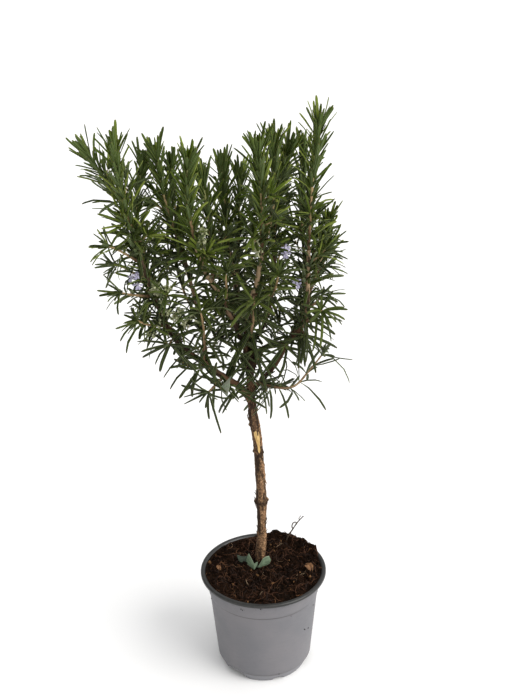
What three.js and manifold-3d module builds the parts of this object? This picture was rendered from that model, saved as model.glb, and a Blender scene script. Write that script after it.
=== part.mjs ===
// A rosemary plant trained as a little tree, standing in its round nursery pot.
// Millimetres, +Z up. The origin is the middle of the pot's flat base, and the front is -Y.

import * as THREE from 'three';
import { mergeVertices } from 'three/addons/utils/BufferGeometryUtils.js';
import Module from 'manifold-3d';

const wasm = await Module();
wasm.setup();

// Driving dimensions of the pot
const rimDiameter = 130;
const potHeight = 110;
const wall = 1.2;
const lipWidth = 4;
const lipHeight = 4;
const bandBottom = 88; // the wall steps outward here, below the rim
const bandStep = 0.9;
const shoulderRadius = 56.4; // outside of the wall just below the band
const bodyBottomRadius = 49.2;
const footHeight = 10.5; // the wall steps inward here, above the feet
const footStep = 0.8;
const footRadius = 44.2; // outside of the feet where they stand
const floorTop = 11.8;
const drainCount = 6; // narrow and wide ones in turn
const drains = [
  { height: 3.4, width: 12, topWidth: 6 },
  { height: 9.2, width: 30, topWidth: 17 },
];
const drainStart = 24; // distance from the axis
const drainTurn = 18; // degrees from the front to the first drain
const holeDiameter = 7;
const holeRadius = 36;

// Driving dimensions of the plant
const gap = 0.35; // between pieces that touch
const soilEdge = 106.2; // height of the soil at the wall
const soilCrown = 107.4; // height of the soil around the trunk
const soilLump = 0.8;
const leafWidth = 3.4;
const leafThickness = 1.5;
const leafWidest = 0.35; // of the way along a leaf
const shootBaseRadius = 1.4;
const shootTipRadius = 0.8;
const leafSpacing = 21; // between pairs of leaves

const rimRadius = rimDiameter / 2;
const up = new THREE.Vector3(0, 0, 1);

const materials = {
  potPlastic: { color: 0x85858a, roughness: 0.5 },
  peat: { color: 0x2b1b11, roughness: 0.95 },
  bark: { color: 0x6e4f36, roughness: 0.85 },
  twigBark: { color: 0x5a3e2a, roughness: 0.8 },
  leaf: { color: 0x2f4a22, roughness: 0.55 },
  paleLeaf: { color: 0x7d8a70, roughness: 0.8 },
  bud: { color: 0xa9b58c, roughness: 0.7 },
  petal: { color: 0xb9b0d8, roughness: 0.6 },
  barkChip: { color: 0x8a6a45, roughness: 0.9 },
};

const group = new THREE.Group();

function addMesh(name, geometry, finish) {
  const material = new THREE.MeshStandardMaterial({ metalness: 0, ...materials[finish] });
  const mesh = new THREE.Mesh(geometry, material);
  mesh.name = name;
  group.add(mesh);
}

// ---- solids ----

function toSolid(geometry) {
  geometry.deleteAttribute('normal');
  geometry.deleteAttribute('uv');
  const merged = mergeVertices(geometry, 1e-4);
  return new wasm.Manifold(new wasm.Mesh({
    numProp: 3,
    vertProperties: new Float32Array(merged.attributes.position.array),
    triVerts: new Uint32Array(merged.index.array),
  }));
}

function toGeometry(solid) {
  const mesh = solid.getMesh();
  const geometry = new THREE.BufferGeometry();
  geometry.setAttribute('position', new THREE.BufferAttribute(new Float32Array(mesh.vertProperties), 3));
  geometry.setIndex(new THREE.BufferAttribute(new Uint32Array(mesh.triVerts), 1));
  return geometry;
}

// The biggest piece that is left after a cut.
function largestPart(solid) {
  const parts = solid.decompose();
  return parts.reduce((best, part) => (part.volume() > best.volume() ? part : best));
}

function toVector([x, y, z]) {
  return new THREE.Vector3(x, y, z);
}

// The value at t along a list of evenly spaced values, in straight steps.
function valueAt(values, t) {
  const place = Math.min(Math.max(t, 0), 1) * (values.length - 1);
  const index = Math.min(Math.floor(place), values.length - 2);
  return THREE.MathUtils.lerp(values[index], values[index + 1], place - index);
}

// The world axis that lies most nearly across a curve, to measure its section from.
function crossAxis(curve) {
  const chord = curve.getPoint(1).sub(curve.getPoint(0)).normalize();
  const reach = [Math.abs(chord.x), Math.abs(chord.y)];
  return reach[0] < reach[1] ? new THREE.Vector3(1, 0, 0) : new THREE.Vector3(0, 1, 0);
}

// A closed rod along a curve whose radius follows a list; grow makes it fatter and longer all round.
function taperedRod(curve, radii, sides, steps, grow = 0) {
  const geometry = new THREE.CylinderGeometry(1, 1, 1, sides, steps);
  const position = geometry.attributes.position;
  const reference = crossAxis(curve);
  const across = new THREE.Vector3();
  const side = new THREE.Vector3();
  for (let i = 0; i < position.count; i += 1) {
    const t = position.getY(i) + 0.5;
    const tangent = curve.getTangent(t);
    across.copy(reference).addScaledVector(tangent, -reference.dot(tangent)).normalize();
    side.crossVectors(across, tangent);
    const radius = valueAt(radii, t) + grow;
    const point = curve.getPoint(t);
    point.addScaledVector(across, position.getX(i) * radius);
    point.addScaledVector(side, position.getZ(i) * radius);
    if (t < 0.001) point.addScaledVector(tangent, -grow);
    if (t > 0.999) point.addScaledVector(tangent, grow);
    position.setXYZ(i, point.x, point.y, point.z);
  }
  return toSolid(geometry);
}

// ---- pot ----

function wallRadius(z) {
  if (z >= bandBottom) {
    const flare = (z - bandBottom) / (potHeight - lipHeight - bandBottom);
    return shoulderRadius + bandStep + 1.9 * flare;
  }
  const rise = (z - footHeight) / (bandBottom - footHeight);
  return THREE.MathUtils.lerp(bodyBottomRadius, shoulderRadius, rise);
}

function makePot() {
  const lipBottom = potHeight - lipHeight;
  const lipRound = 1.6;
  const profile = [
    [0, 0],
    [footRadius - 0.8, 0],
    [footRadius, 0.6],
    [bodyBottomRadius - footStep, footHeight - 0.5],
    [bodyBottomRadius, footHeight],
    [shoulderRadius, bandBottom - 1],
    [shoulderRadius + bandStep, bandBottom],
    [wallRadius(lipBottom), lipBottom],
    [rimRadius - 0.5, lipBottom],
  ];
  for (let step = 0; step <= 3; step += 1) {
    const angle = (step / 3) * (Math.PI / 2);
    profile.push([
      rimRadius - lipRound * (1 - Math.cos(angle)),
      potHeight - lipRound * (1 - Math.sin(angle)),
    ]);
  }
  profile.push(
    [rimRadius - lipWidth + 0.8, potHeight],
    [rimRadius - lipWidth, potHeight - 0.8],
    [wallRadius(lipBottom) - wall, lipBottom - 3],
    [wallRadius(bandBottom) - wall, bandBottom],
    [shoulderRadius - wall, bandBottom - 1.5],
    [bodyBottomRadius - wall, floorTop + 1.5],
    [bodyBottomRadius - wall - 1, floorTop],
    [0, floorTop],
  );
  const points = profile.map(([radius, z]) => new THREE.Vector2(radius, z));
  const shell = toSolid(new THREE.LatheGeometry(points, 36).rotateX(Math.PI / 2));

  // Each drain is open downward and outward, with a hole at its roof.
  let solid = shell;
  for (let i = 0; i < drainCount; i += 1) {
    const { height, width, topWidth } = drains[i % drains.length];
    const arch = new THREE.Shape();
    arch.moveTo(-width / 2, -1);
    arch.lineTo(width / 2, -1);
    arch.lineTo(topWidth / 2, height);
    arch.lineTo(-topWidth / 2, height);
    const turn = THREE.MathUtils.degToRad(drainTurn + (i * 360) / drainCount);
    const drain = new THREE.ExtrudeGeometry(arch, { depth: rimRadius - drainStart, bevelEnabled: false });
    drain.rotateX(Math.PI / 2).translate(0, -drainStart, 0).rotateZ(turn);
    const hole = new THREE.CylinderGeometry(holeDiameter / 2, holeDiameter / 2, 2 * floorTop, 12);
    hole.rotateX(Math.PI / 2).translate(0, -holeRadius, floorTop + 1).rotateZ(turn);
    solid = solid.subtract(toSolid(drain)).subtract(toSolid(hole));
  }
  return solid;
}

// ---- soil ----

function soilHeight(x, y, mound) {
  const wave = Math.sin(x * 0.21 + 1.3) * Math.cos(y * 0.17 - 0.4) + 0.6 * Math.sin(x * 0.39 - y * 0.33);
  return THREE.MathUtils.lerp(soilEdge, soilCrown, mound) + soilLump * wave * Math.min(1, mound * 4);
}

function makeSoil() {
  const clear = wall + gap + 0.1;
  const rings = 6;
  const edgeRadius = wallRadius(soilEdge) - clear - 1;
  const points = [
    new THREE.Vector2(0, floorTop + gap),
    new THREE.Vector2(bodyBottomRadius - clear - 1.6, floorTop + gap),
    new THREE.Vector2(bodyBottomRadius - clear - 0.3, floorTop + 2),
    new THREE.Vector2(shoulderRadius - clear - 0.2, bandBottom - 1.5),
  ];
  for (let ring = 0; ring <= rings; ring += 1) {
    points.push(new THREE.Vector2(edgeRadius * (1 - ring / rings), soilEdge));
  }
  const geometry = new THREE.LatheGeometry(points, 28).rotateX(Math.PI / 2);
  const position = geometry.attributes.position;
  for (let i = 0; i < position.count; i += 1) {
    const [x, y, z] = [position.getX(i), position.getY(i), position.getZ(i)];
    if (z > soilEdge - 1) position.setZ(i, soilHeight(x, y, 1 - Math.hypot(x, y) / edgeRadius));
  }
  return toSolid(geometry);
}

// ---- wood ----

// The trunk and its woody branches: the points each one runs through, and its radius along them.
const limbs = {
  trunk: {
    points: [[-3, 12, 62], [-3, 12, 107], [-1, 12, 148], [-1, 10, 185], [-2, 8, 222], [-4, 5, 256],
      [-8, 2, 289], [-10, 2, 318], [-10, 5, 348]],
    radii: [3.5, 3.8, 4.2, 4.6, 5.2, 5.1, 5, 5, 4.9, 5.2, 6.9, 6.2, 5.1, 4.9, 4.7, 4.6, 4.6, 4.8, 4.6, 4.3,
      4.2, 4, 3.6, 3.8, 4.8],
    parent: null,
    sides: 12,
    steps: 24,
  },
  left_branch: {
    points: [[-10, 2, 301], [-21, -5, 320], [-50, -17, 347], [-78, -22, 377], [-96, -20, 421],
      [-106, -22, 459]],
    radii: [3.4, 3.2, 2.8, 2.3, 2, 1.8],
    parent: 'trunk',
  },
  left_back_branch: {
    points: [[-49, -17, 346], [-54, 10, 366], [-63, 22, 408], [-72, 24, 445]],
    radii: [1.9, 1.8, 1.6, 1.5],
    parent: 'left_branch',
  },
  centre_left_branch: {
    points: [[-10, 4, 340], [-20, -5, 377], [-37, -15, 417], [-48, -22, 442], [-55, -30, 468]],
    radii: [2.8, 2.5, 2.2, 2, 1.8],
    parent: 'trunk',
  },
  centre_branch: {
    points: [[-10, 4, 343], [-10, 0, 375], [-8, -8, 405], [-2, -15, 427], [3, -22, 458]],
    radii: [2.8, 2.4, 2.2, 1.9, 1.7],
    parent: 'trunk',
  },
  right_branch: {
    points: [[-9, 5, 347], [8, 9, 355], [28, 6, 362], [42, 0, 385], [45, -4, 420], [45, -5, 454]],
    radii: [2.6, 2.5, 2.4, 2.2, 1.9, 1.8],
    parent: 'trunk',
  },
  low_right_branch: {
    points: [[-10, 2, 311], [7, 12, 325], [21, 18, 343], [42, 30, 386], [52, 31, 413], [60, 28, 442]],
    radii: [2.4, 2.2, 2, 1.8, 1.6, 1.5],
    parent: 'trunk',
  },
  back_branch: {
    points: [[-10, 4, 344], [-12, 20, 357], [-19, 39, 382], [-25, 50, 418], [-28, 53, 445]],
    radii: [2.6, 2.4, 2.1, 1.8, 1.6],
    parent: 'trunk',
  },
  back_right_branch: {
    points: [[-11, 14, 352], [2, 30, 364], [11, 45, 388], [15, 50, 417]],
    radii: [1.9, 1.8, 1.6, 1.5],
    parent: 'back_branch',
  },
};

// The leafy shoots. Each grows from a place along its branch (0 to 1) through the middle point to its tip.
const shoots = {
  shoot_left: { limb: 'left_branch', at: 1, through: [[-116, -30, 515], [-120, -34, 561]] },
  shoot_far_left: { limb: 'left_branch', at: 0.9, through: [[-121, -14, 503], [-151, -8, 551]] },
  shoot_left_inner: { limb: 'left_branch', at: 0.76, through: [[-110, 14, 478], [-103, 34, 535]] },
  shoot_left_back: { limb: 'left_back_branch', at: 1, through: [[-85, 20, 498], [-91, 16, 546]] },
  shoot_left_behind: { limb: 'left_back_branch', at: 0.8, through: [[-78, 42, 488], [-80, 50, 527]] },
  shoot_centre_left: { limb: 'centre_left_branch', at: 1, through: [[-60, -37, 510], [-57, -42, 552]] },
  shoot_inner_left: { limb: 'centre_left_branch', at: 0.6, through: [[-43, 4, 462], [-50, 13, 524]] },
  shoot_centre: { limb: 'centre_branch', at: 1, through: [[3, -33, 510], [0, -40, 559]] },
  shoot_centre_right: { limb: 'centre_branch', at: 0.88, through: [[14, -10, 500], [14, -5, 557]] },
  shoot_right: { limb: 'right_branch', at: 1, through: [[48, -8, 515], [54, -12, 576]] },
  shoot_right_behind: { limb: 'right_branch', at: 0.72, through: [[41, 30, 462], [42, 45, 541]] },
  shoot_far_right: { limb: 'low_right_branch', at: 1, through: [[63, 23, 464], [65, 16, 484]] },
  shoot_far_right_back: { limb: 'low_right_branch', at: 0.72, through: [[62, 34, 431], [67, 30, 453]] },
  shoot_back: { limb: 'back_branch', at: 1, through: [[-32, 56, 485], [-33, 57, 524]] },
  shoot_back_inner: { limb: 'back_branch', at: 0.62, through: [[-19, 66, 460], [-16, 72, 514]] },
  shoot_back_right: { limb: 'back_right_branch', at: 1, through: [[17, 36, 485], [30, 22, 548]] },
  shoot_back_low_left: { limb: 'back_branch', at: 0.45, through: [[-36, 60, 398], [-52, 76, 432]] },
  shoot_back_low_right: { limb: 'back_right_branch', at: 0.55, through: [[14, 64, 400], [24, 78, 440]] },
  shoot_back_low: { limb: 'back_branch', at: 0.3, through: [[-14, 62, 372], [-14, 88, 400]] },
  shoot_left_low_back: { limb: 'left_back_branch', at: 0.45, through: [[-72, 44, 396], [-82, 62, 428]] },
  shoot_side_1: { limb: 'left_branch', at: 0.94, through: [[-122, -31, 464], [-136, -36, 471]] },
  shoot_side_2: { limb: 'left_branch', at: 0.84, through: [[-122, -6, 440], [-137, 2, 440]] },
  shoot_side_3: { limb: 'left_branch', at: 0.78, through: [[-112, -35, 424], [-127, -42, 430]] },
  shoot_side_4: { limb: 'left_branch', at: 0.66, through: [[-100, -41, 398], [-112, -50, 408]] },
  shoot_low_left: { limb: 'left_branch', at: 0.3, through: [[-45, -29, 329], [-52, -38, 325]] },
  shoot_front_centre: { limb: 'centre_branch', at: 0.18, through: [[-6, -32, 394], [-4, -48, 426]] },
  shoot_front_left: { limb: 'left_branch', at: 0.42, through: [[-50, -38, 388], [-52, -50, 418]] },
  shoot_front_high: { limb: 'centre_left_branch', at: 0.42, through: [[-29, -34, 424], [-29, -44, 452]] },
  shoot_front_right: { limb: 'centre_branch', at: 0.6, through: [[12, -34, 424], [18, -44, 448]] },
  shoot_right_low: { limb: 'right_branch', at: 0.58, through: [[51, -20, 396], [59, -31, 408]] },
  shoot_right_out: { limb: 'right_branch', at: 0.66, through: [[55, 6, 402], [63, 10, 411]] },
  shoot_low_right: { limb: 'trunk', at: 0.885, through: [[28, -6, 318], [48, 2, 334], [63, 6, 352]] },
};

const solids = {};
const clearSolids = {};
const curves = {};
const spaces = []; // { owner, line, radius }: the room that placed wood and leaves take up

function fillSpace(owner, curve, radius, steps) {
  for (let i = 0; i < steps; i += 1) {
    const line = new THREE.Line3(curve.getPoint(i / steps), curve.getPoint((i + 1) / steps));
    spaces.push({ owner, line, radius });
  }
}

function isFree(owner, line, radius) {
  return spaces.every((space) => space.owner === owner
    || line.distanceSqToLine3(space.line) > (radius + space.radius + gap) ** 2);
}

function makeLimbs() {
  for (const [name, { points, radii, parent, sides = 8, steps = 10 }] of Object.entries(limbs)) {
    const curve = new THREE.CatmullRomCurve3(points.map(toVector));
    curves[name] = curve;
    clearSolids[name] = taperedRod(curve, radii, sides, steps, gap);
    const rod = taperedRod(curve, radii, sides, steps);
    const older = Object.keys(solids).reduce((cut, other) => cut.subtract(clearSolids[other]), rod);
    solids[name] = parent ? largestPart(older) : rod;
    fillSpace(name, curve, Math.max(...radii), 12);
  }
}

// ---- leaves ----

// A narrow three-sided leaf, widest a third of the way along, from a point in a direction.
function makeLeaf(base, direction, normal, length) {
  const geometry = new THREE.ConeGeometry(1, 1, 3, 2);
  const position = geometry.attributes.position;
  const across = new THREE.Vector3().crossVectors(direction, normal).normalize();
  const face = new THREE.Vector3().crossVectors(across, direction);
  for (let i = 0; i < position.count; i += 1) {
    const row = position.getY(i) + 0.5; // 0 at the base, 0.5 where it is widest, 1 at the tip
    const spread = row < 0.25 ? 0.3 : 2;
    const along = row === 0.5 ? leafWidest : row;
    const point = base.clone().addScaledVector(direction, along * length);
    point.addScaledVector(across, (position.getX(i) * spread * leafWidth) / 2);
    point.addScaledVector(face, (position.getZ(i) * spread * leafThickness) / 2);
    position.setXYZ(i, point.x, point.y, point.z);
  }
  return toSolid(geometry);
}

// The length of a leaf and its lean from the stem: lower leaves are longer and spread wider.
function leafShape(t) {
  return {
    length: THREE.MathUtils.lerp(29, 17, t),
    lean: THREE.MathUtils.degToRad(THREE.MathUtils.lerp(68, 16, t)),
  };
}

function shootCurve({ limb, at, through }) {
  const start = curves[limb].getPoint(at);
  return new THREE.CatmullRomCurve3([start, ...through.map(toVector)]);
}

function makeShoot(name, shoot) {
  const curve = shootCurve(shoot);
  const stem = taperedRod(curve, [shootBaseRadius, shootTipRadius], 4, 4);
  let solid = Object.values(clearSolids).reduce((cut, clear) => cut.subtract(clear), stem);
  const reference = crossAxis(curve);
  const pairs = Math.round(curve.getLength() / leafSpacing) + 1;
  for (let pair = 0; pair < pairs; pair += 1) {
    const t = THREE.MathUtils.lerp(0.16, 0.96, pair / (pairs - 1));
    const tangent = curve.getTangent(t);
    const across = reference.clone().addScaledVector(tangent, -reference.dot(tangent)).normalize();
    const { length, lean } = leafShape(t);
    for (const half of [0, 180]) {
      const turn = THREE.MathUtils.degToRad(pair * 97 + half + 40);
      const outward = across.clone().applyAxisAngle(tangent, turn);
      const direction = outward.clone().multiplyScalar(Math.sin(lean));
      direction.addScaledVector(tangent, Math.cos(lean));
      const stemRadius = THREE.MathUtils.lerp(shootBaseRadius, shootTipRadius, t);
      const base = curve.getPoint(t).addScaledVector(outward, stemRadius * 0.4);
      const line = new THREE.Line3(base, base.clone().addScaledVector(direction, length));
      if (isFree(name, line, leafWidth / 2)) {
        solid = solid.add(makeLeaf(base, direction, outward, length));
        spaces.push({ owner: name, line, radius: leafWidth / 2 });
      }
    }
  }
  return largestPart(solid);
}

// ---- flowers, buds and what lies on the soil ----

// A small solid of several knobs round a middle, for a flower or a cluster of buds.
function makeCluster([x, y, z], radius, knobs) {
  const ball = () => new THREE.OctahedronGeometry(radius * 0.7, 0);
  let solid = toSolid(ball().translate(x, y, z));
  for (let i = 0; i < knobs; i += 1) {
    const turn = (i / knobs) * Math.PI * 2;
    const reach = radius * 0.6;
    const knob = ball().translate(x + reach * Math.cos(turn), y + reach * Math.sin(turn), z + i * 0.3);
    solid = solid.add(toSolid(knob));
  }
  return solid;
}

const clusters = [
  { name: 'flower_left', at: [-110, -33, 438], radius: 4, knobs: 3, finish: 'petal' },
  { name: 'flower_centre', at: [23, -27, 462], radius: 4, knobs: 3, finish: 'petal' },
  { name: 'flower_right', at: [33, -14, 428], radius: 4, knobs: 3, finish: 'petal' },
  { name: 'buds_left', at: [-89, -31, 424], radius: 3.5, knobs: 3, finish: 'bud' },
  { name: 'buds_low_left', at: [-77, -30, 399], radius: 3.5, knobs: 3, finish: 'bud' },
  { name: 'buds_centre_left', at: [-46, -32, 466], radius: 3.5, knobs: 3, finish: 'bud' },
  { name: 'buds_centre', at: [-5, -30, 468], radius: 3.5, knobs: 3, finish: 'bud' },
];

// Broad leaves that have dropped: an outline in its own plane, tilted up from the ground and set in place.
const looseLeaves = [
  { name: 'fallen_leaf_left', outline: [[0, 0], [13, -9], [20, -6], [14, 3], [4, 7]], thickness: 1.2,
    tilt: 24, place: [-26, 5, 111.4] },
  { name: 'fallen_leaf_right', outline: [[0, 0], [8, -2], [11, 4], [8, 12], [2, 8]], thickness: 1.2, tilt: 62,
    place: [-1, 3.2, 109.9] },
  { name: 'broad_leaf', outline: [[0, 0], [8, -4], [11, 8], [5, 18], [-1, 8]], thickness: 1, tilt: 70,
    place: [-38, -30, 322] },
];

function makeLooseLeaf({ outline, thickness, tilt, place }) {
  const shape = new THREE.Shape(outline.map(([x, y]) => new THREE.Vector2(x, y)));
  const leaf = new THREE.ExtrudeGeometry(shape, { depth: thickness, bevelEnabled: false });
  return leaf.rotateX(THREE.MathUtils.degToRad(tilt)).translate(...place);
}

function makeChip(size, place, turn) {
  const chip = new THREE.DodecahedronGeometry(1, 0).scale(...size).rotateZ(turn);
  return chip.translate(...place);
}

// ---- assembly ----

makeLimbs();
const soilSolid = makeSoil().subtract(clearSolids.trunk);
addMesh('pot', toGeometry(makePot()), 'potPlastic');
addMesh('soil', toGeometry(soilSolid), 'peat');
for (const name of Object.keys(limbs)) {
  addMesh(name, toGeometry(solids[name]), 'bark');
}
for (const { name, at, radius, knobs, finish } of clusters) {
  addMesh(name, toGeometry(makeCluster(at, radius, knobs)), finish);
  const line = new THREE.Line3(toVector(at), toVector(at).addScaledVector(up, 1));
  spaces.push({ owner: name, line, radius: radius * 1.3 });
}
for (const looseLeaf of looseLeaves) {
  const geometry = makeLooseLeaf(looseLeaf);
  addMesh(looseLeaf.name, geometry, 'paleLeaf');
  geometry.computeBoundingBox();
  const { min, max } = geometry.boundingBox;
  spaces.push({ owner: looseLeaf.name, line: new THREE.Line3(min, max), radius: 5 });
}
for (const [name, shoot] of Object.entries(shoots)) {
  fillSpace(name, shootCurve(shoot), shootBaseRadius, 6);
}
for (const [name, shoot] of Object.entries(shoots)) {
  addMesh(name, toGeometry(makeShoot(name, shoot)), 'leaf');
}

const twigPoints = [[24, 48, 109.2], [31, 50, 121], [37, 50, 129], [43, 50, 139]];
const twigCurve = new THREE.CatmullRomCurve3(twigPoints.map(toVector));
addMesh('dry_twig', toGeometry(taperedRod(twigCurve, [0.9, 0.6], 5, 6)), 'twigBark');
addMesh('bark_chip_right', makeChip([6, 4.5, 3], [47, -4, 111], 0.5), 'barkChip');
addMesh('bark_chip_left', makeChip([3.5, 2.2, 1.6], [-46, -4, 109.6], -0.6), 'barkChip');

export default group;
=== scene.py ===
import math

import bpy
import numpy as np
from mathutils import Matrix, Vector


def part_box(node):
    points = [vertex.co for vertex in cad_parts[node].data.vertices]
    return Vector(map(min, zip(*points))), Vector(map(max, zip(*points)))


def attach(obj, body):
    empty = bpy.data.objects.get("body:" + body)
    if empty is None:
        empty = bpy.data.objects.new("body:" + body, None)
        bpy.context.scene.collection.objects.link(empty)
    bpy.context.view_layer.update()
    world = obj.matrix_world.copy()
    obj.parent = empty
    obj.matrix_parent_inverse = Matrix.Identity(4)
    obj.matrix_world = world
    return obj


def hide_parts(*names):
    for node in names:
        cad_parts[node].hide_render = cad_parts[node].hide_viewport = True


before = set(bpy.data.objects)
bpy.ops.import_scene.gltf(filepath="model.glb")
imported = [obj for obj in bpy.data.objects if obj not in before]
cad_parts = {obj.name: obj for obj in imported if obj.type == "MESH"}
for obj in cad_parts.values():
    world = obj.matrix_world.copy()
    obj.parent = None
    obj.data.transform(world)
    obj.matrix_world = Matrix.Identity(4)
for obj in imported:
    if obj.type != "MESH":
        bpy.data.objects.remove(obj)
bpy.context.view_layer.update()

mm = 0.001
fullTurn = 2 * math.pi
rng = np.random.default_rng(20)


# ---- paint: shader maths written as expressions

def tone(red, green, blue):  # a colour as the eye reads it, 0 to 255, in linear light
    share = np.array([red, green, blue]) / 255
    return tuple(float(x) for x in np.where(share <= 0.04045, share / 12.92, ((share + 0.055) / 1.055) ** 2.4))


class Wire:  # one socket of a material, with the operators that add its Math nodes
    def __init__(self, paint, socket):
        self.paint = paint
        self.socket = socket

    def __add__(self, other):
        return self.paint.maths("ADD", self, other)

    def __radd__(self, other):
        return self.paint.maths("ADD", other, self)

    def __sub__(self, other):
        return self.paint.maths("SUBTRACT", self, other)

    def __rsub__(self, other):
        return self.paint.maths("SUBTRACT", other, self)

    def __mul__(self, other):
        return self.paint.maths("MULTIPLY", self, other)

    def __rmul__(self, other):
        return self.paint.maths("MULTIPLY", other, self)

    def __truediv__(self, other):
        return self.paint.maths("DIVIDE", self, other)

    def __pow__(self, other):
        return self.paint.maths("POWER", self, other)

    def __abs__(self):
        return self.paint.maths("ABSOLUTE", self, 0)

    def rises(self, low, high):  # 0 up to low, 1 from high on, a smooth step between; high below low falls
        sockets = {"Value": self, "From Min": low, "From Max": high}
        return self.paint.node("MapRange", {"interpolation_type": "SMOOTHSTEP"}, sockets)


class Paint:  # one material, whose nodes all come from node()
    def __init__(self, name, **fixed):
        self.material = bpy.data.materials.new(name)
        self.material.use_nodes = True
        self.tree = self.material.node_tree
        self.shader = self.tree.nodes["Principled BSDF"]
        for socket, value in fixed.items():
            self.shader.inputs[socket.replace("_", " ")].default_value = value

    def feed(self, socket, value):
        if isinstance(value, Wire):
            self.tree.links.new(value.socket, socket)
        elif isinstance(value, tuple) and socket.type == "RGBA":
            socket.default_value = (*value, 1)
        else:
            socket.default_value = value

    def node(self, kind, settings=None, values=None, output=0):
        made = self.tree.nodes.new("ShaderNode" + kind)
        for name, setting in (settings or {}).items():
            setattr(made, name, setting)
        for name, value in (values or {}).items():
            self.feed(made.inputs[name], value)
        return Wire(self, made.outputs[output])

    def maths(self, operation, first, second):
        return self.node("Math", {"operation": operation}, {0: first, 1: second})

    def mix(self, share, first, second, blend="MIX"):  # share of the second colour over the first
        return self.node("Mix", {"data_type": "RGBA", "blend_type": blend}, {0: share, 6: first, 7: second}, 2)

    def place(self, stretch=(1, 1, 1)):  # the piece's own coordinates in millimetres, squeezed by stretch
        coordinates = self.node("TexCoord", output=3)
        return self.node("Mapping", values={"Vector": coordinates, "Scale": tuple(1000 * s for s in stretch)})

    def map(self, name, stretch=(1, 1, 1)):
        return self.node("Mapping", values={"Vector": self.node("UVMap", {"uv_map": name}), "Scale": stretch})

    def value(self, name):
        return self.node("Attribute", {"attribute_name": name}, output=2)

    def noise(self, where, size, detail=3, rough=0.55, warp=0):  # size of one blotch in the units of where
        sockets = {"Vector": where, "Scale": 1 / size, "Detail": detail, "Roughness": rough, "Distortion": warp}
        return self.node("TexNoise", values=sockets)

    def cells(self, where, size, feature="F1"):
        return self.node("TexVoronoi", {"feature": feature}, {"Vector": where, "Scale": 1 / size})

    def split(self, where, axis):
        return self.node("SeparateXYZ", values={"Vector": where}, output="XYZ".index(axis))

    def finish(self, colour, roughness, height=None, depth=0.2):  # depth of the relief in millimetres
        self.feed(self.shader.inputs["Base Color"], colour)
        self.feed(self.shader.inputs["Roughness"], roughness)
        if height is not None:
            bump = self.node("Bump", values={"Height": height, "Distance": depth * mm, "Strength": 1})
            self.feed(self.shader.inputs["Normal"], bump)
        return self.material


# ---- clay: surfaces worked out as whole arrays

class Clay:  # gathers surfaces into one mesh, each with its paint's number, maps and attributes
    def __init__(self):
        self.points, self.faces, self.paints, self.maps, self.values = [], [], [], {}, {}
        self.count = 0

    def add(self, points, faces, paint=0, maps=None, **values):
        points = np.asarray(points, float).reshape(-1, 3)
        for quads in faces:
            self.faces.append(quads + self.count)
            self.paints.append(np.full(len(quads), paint))
        for name, corners in (maps or {}).items():
            self.maps.setdefault(name, []).extend(corner.reshape(-1, 2) for corner in corners)
        for name, value in values.items():
            self.values.setdefault(name, []).append(np.broadcast_to(value, len(points)))
        self.points.append(points)
        self.count += len(points)

    def fire(self, name, slot, paints, *nodes):  # makes the object, and hides the CAD nodes it stands for
        mesh = bpy.data.meshes.new(name)
        corners = np.concatenate([quads.ravel() for quads in self.faces])
        sizes = np.concatenate([np.full(len(quads), quads.shape[1]) for quads in self.faces])
        mesh.vertices.add(self.count)
        mesh.vertices.foreach_set("co", np.concatenate(self.points).astype(np.float32).ravel())
        mesh.loops.add(len(corners))
        mesh.loops.foreach_set("vertex_index", corners.astype(np.int32))
        mesh.polygons.add(len(sizes))
        mesh.polygons.foreach_set("loop_start", (np.cumsum(sizes) - sizes).astype(np.int32))
        mesh.polygons.foreach_set("loop_total", sizes.astype(np.int32))
        mesh.polygons.foreach_set("material_index", np.concatenate(self.paints).astype(np.int32))
        mesh.polygons.foreach_set("use_smooth", np.ones(len(sizes), bool))
        mesh.update(calc_edges=True)
        for mapName, parts in self.maps.items():
            layer = mesh.uv_layers.new(name=mapName)
            layer.uv.foreach_set("vector", np.concatenate(parts).astype(np.float32).ravel())
        for valueName, parts in self.values.items():
            layer = mesh.attributes.new(valueName, "FLOAT", "POINT")
            layer.data.foreach_set("value", np.concatenate(parts).astype(np.float32))
        for paint in paints:
            mesh.materials.append(paint)
        piece = bpy.data.objects.new(name, mesh)
        bpy.context.scene.collection.objects.link(piece)
        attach(piece, "root")
        if nodes:
            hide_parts(*nodes)
        return piece


def unit(vectors):
    return vectors / np.maximum(np.linalg.norm(vectors, axis=-1, keepdims=True), 1e-12)


def lumps(points, size, seed):  # value noise: random numbers on a lattice of that size, blended, -1 to 1
    cell = np.asarray(points, float) / size
    low = np.floor(cell).astype(np.int64)
    part = cell - low
    part = part * part * (3 - 2 * part)
    total = 0
    for corner in np.ndindex(2, 2, 2):
        x, y, z = np.moveaxis(low + corner, -1, 0)
        number = (x * 73856093 ^ y * 19349663 ^ z * 83492791 ^ (seed + 1) * 40503) & 0xFFFFFFFF
        number = ((number ^ (number >> 15)) * 1103515245 + 12345) & 0x7FFFFFFF
        number = ((number ^ (number >> 12)) * 22695477 + 1) & 0x7FFFFFFF
        weight = np.prod(np.where(corner, part, 1 - part), axis=-1)
        total = total + weight * (number / 2 ** 30 - 1)
    return total


def crumble(points, size, seed, layers=4):  # lumps on lumps, each layer half the size and half the height
    return sum(lumps(points, size / 2 ** k, seed + k) / 2 ** k for k in range(layers))


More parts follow.
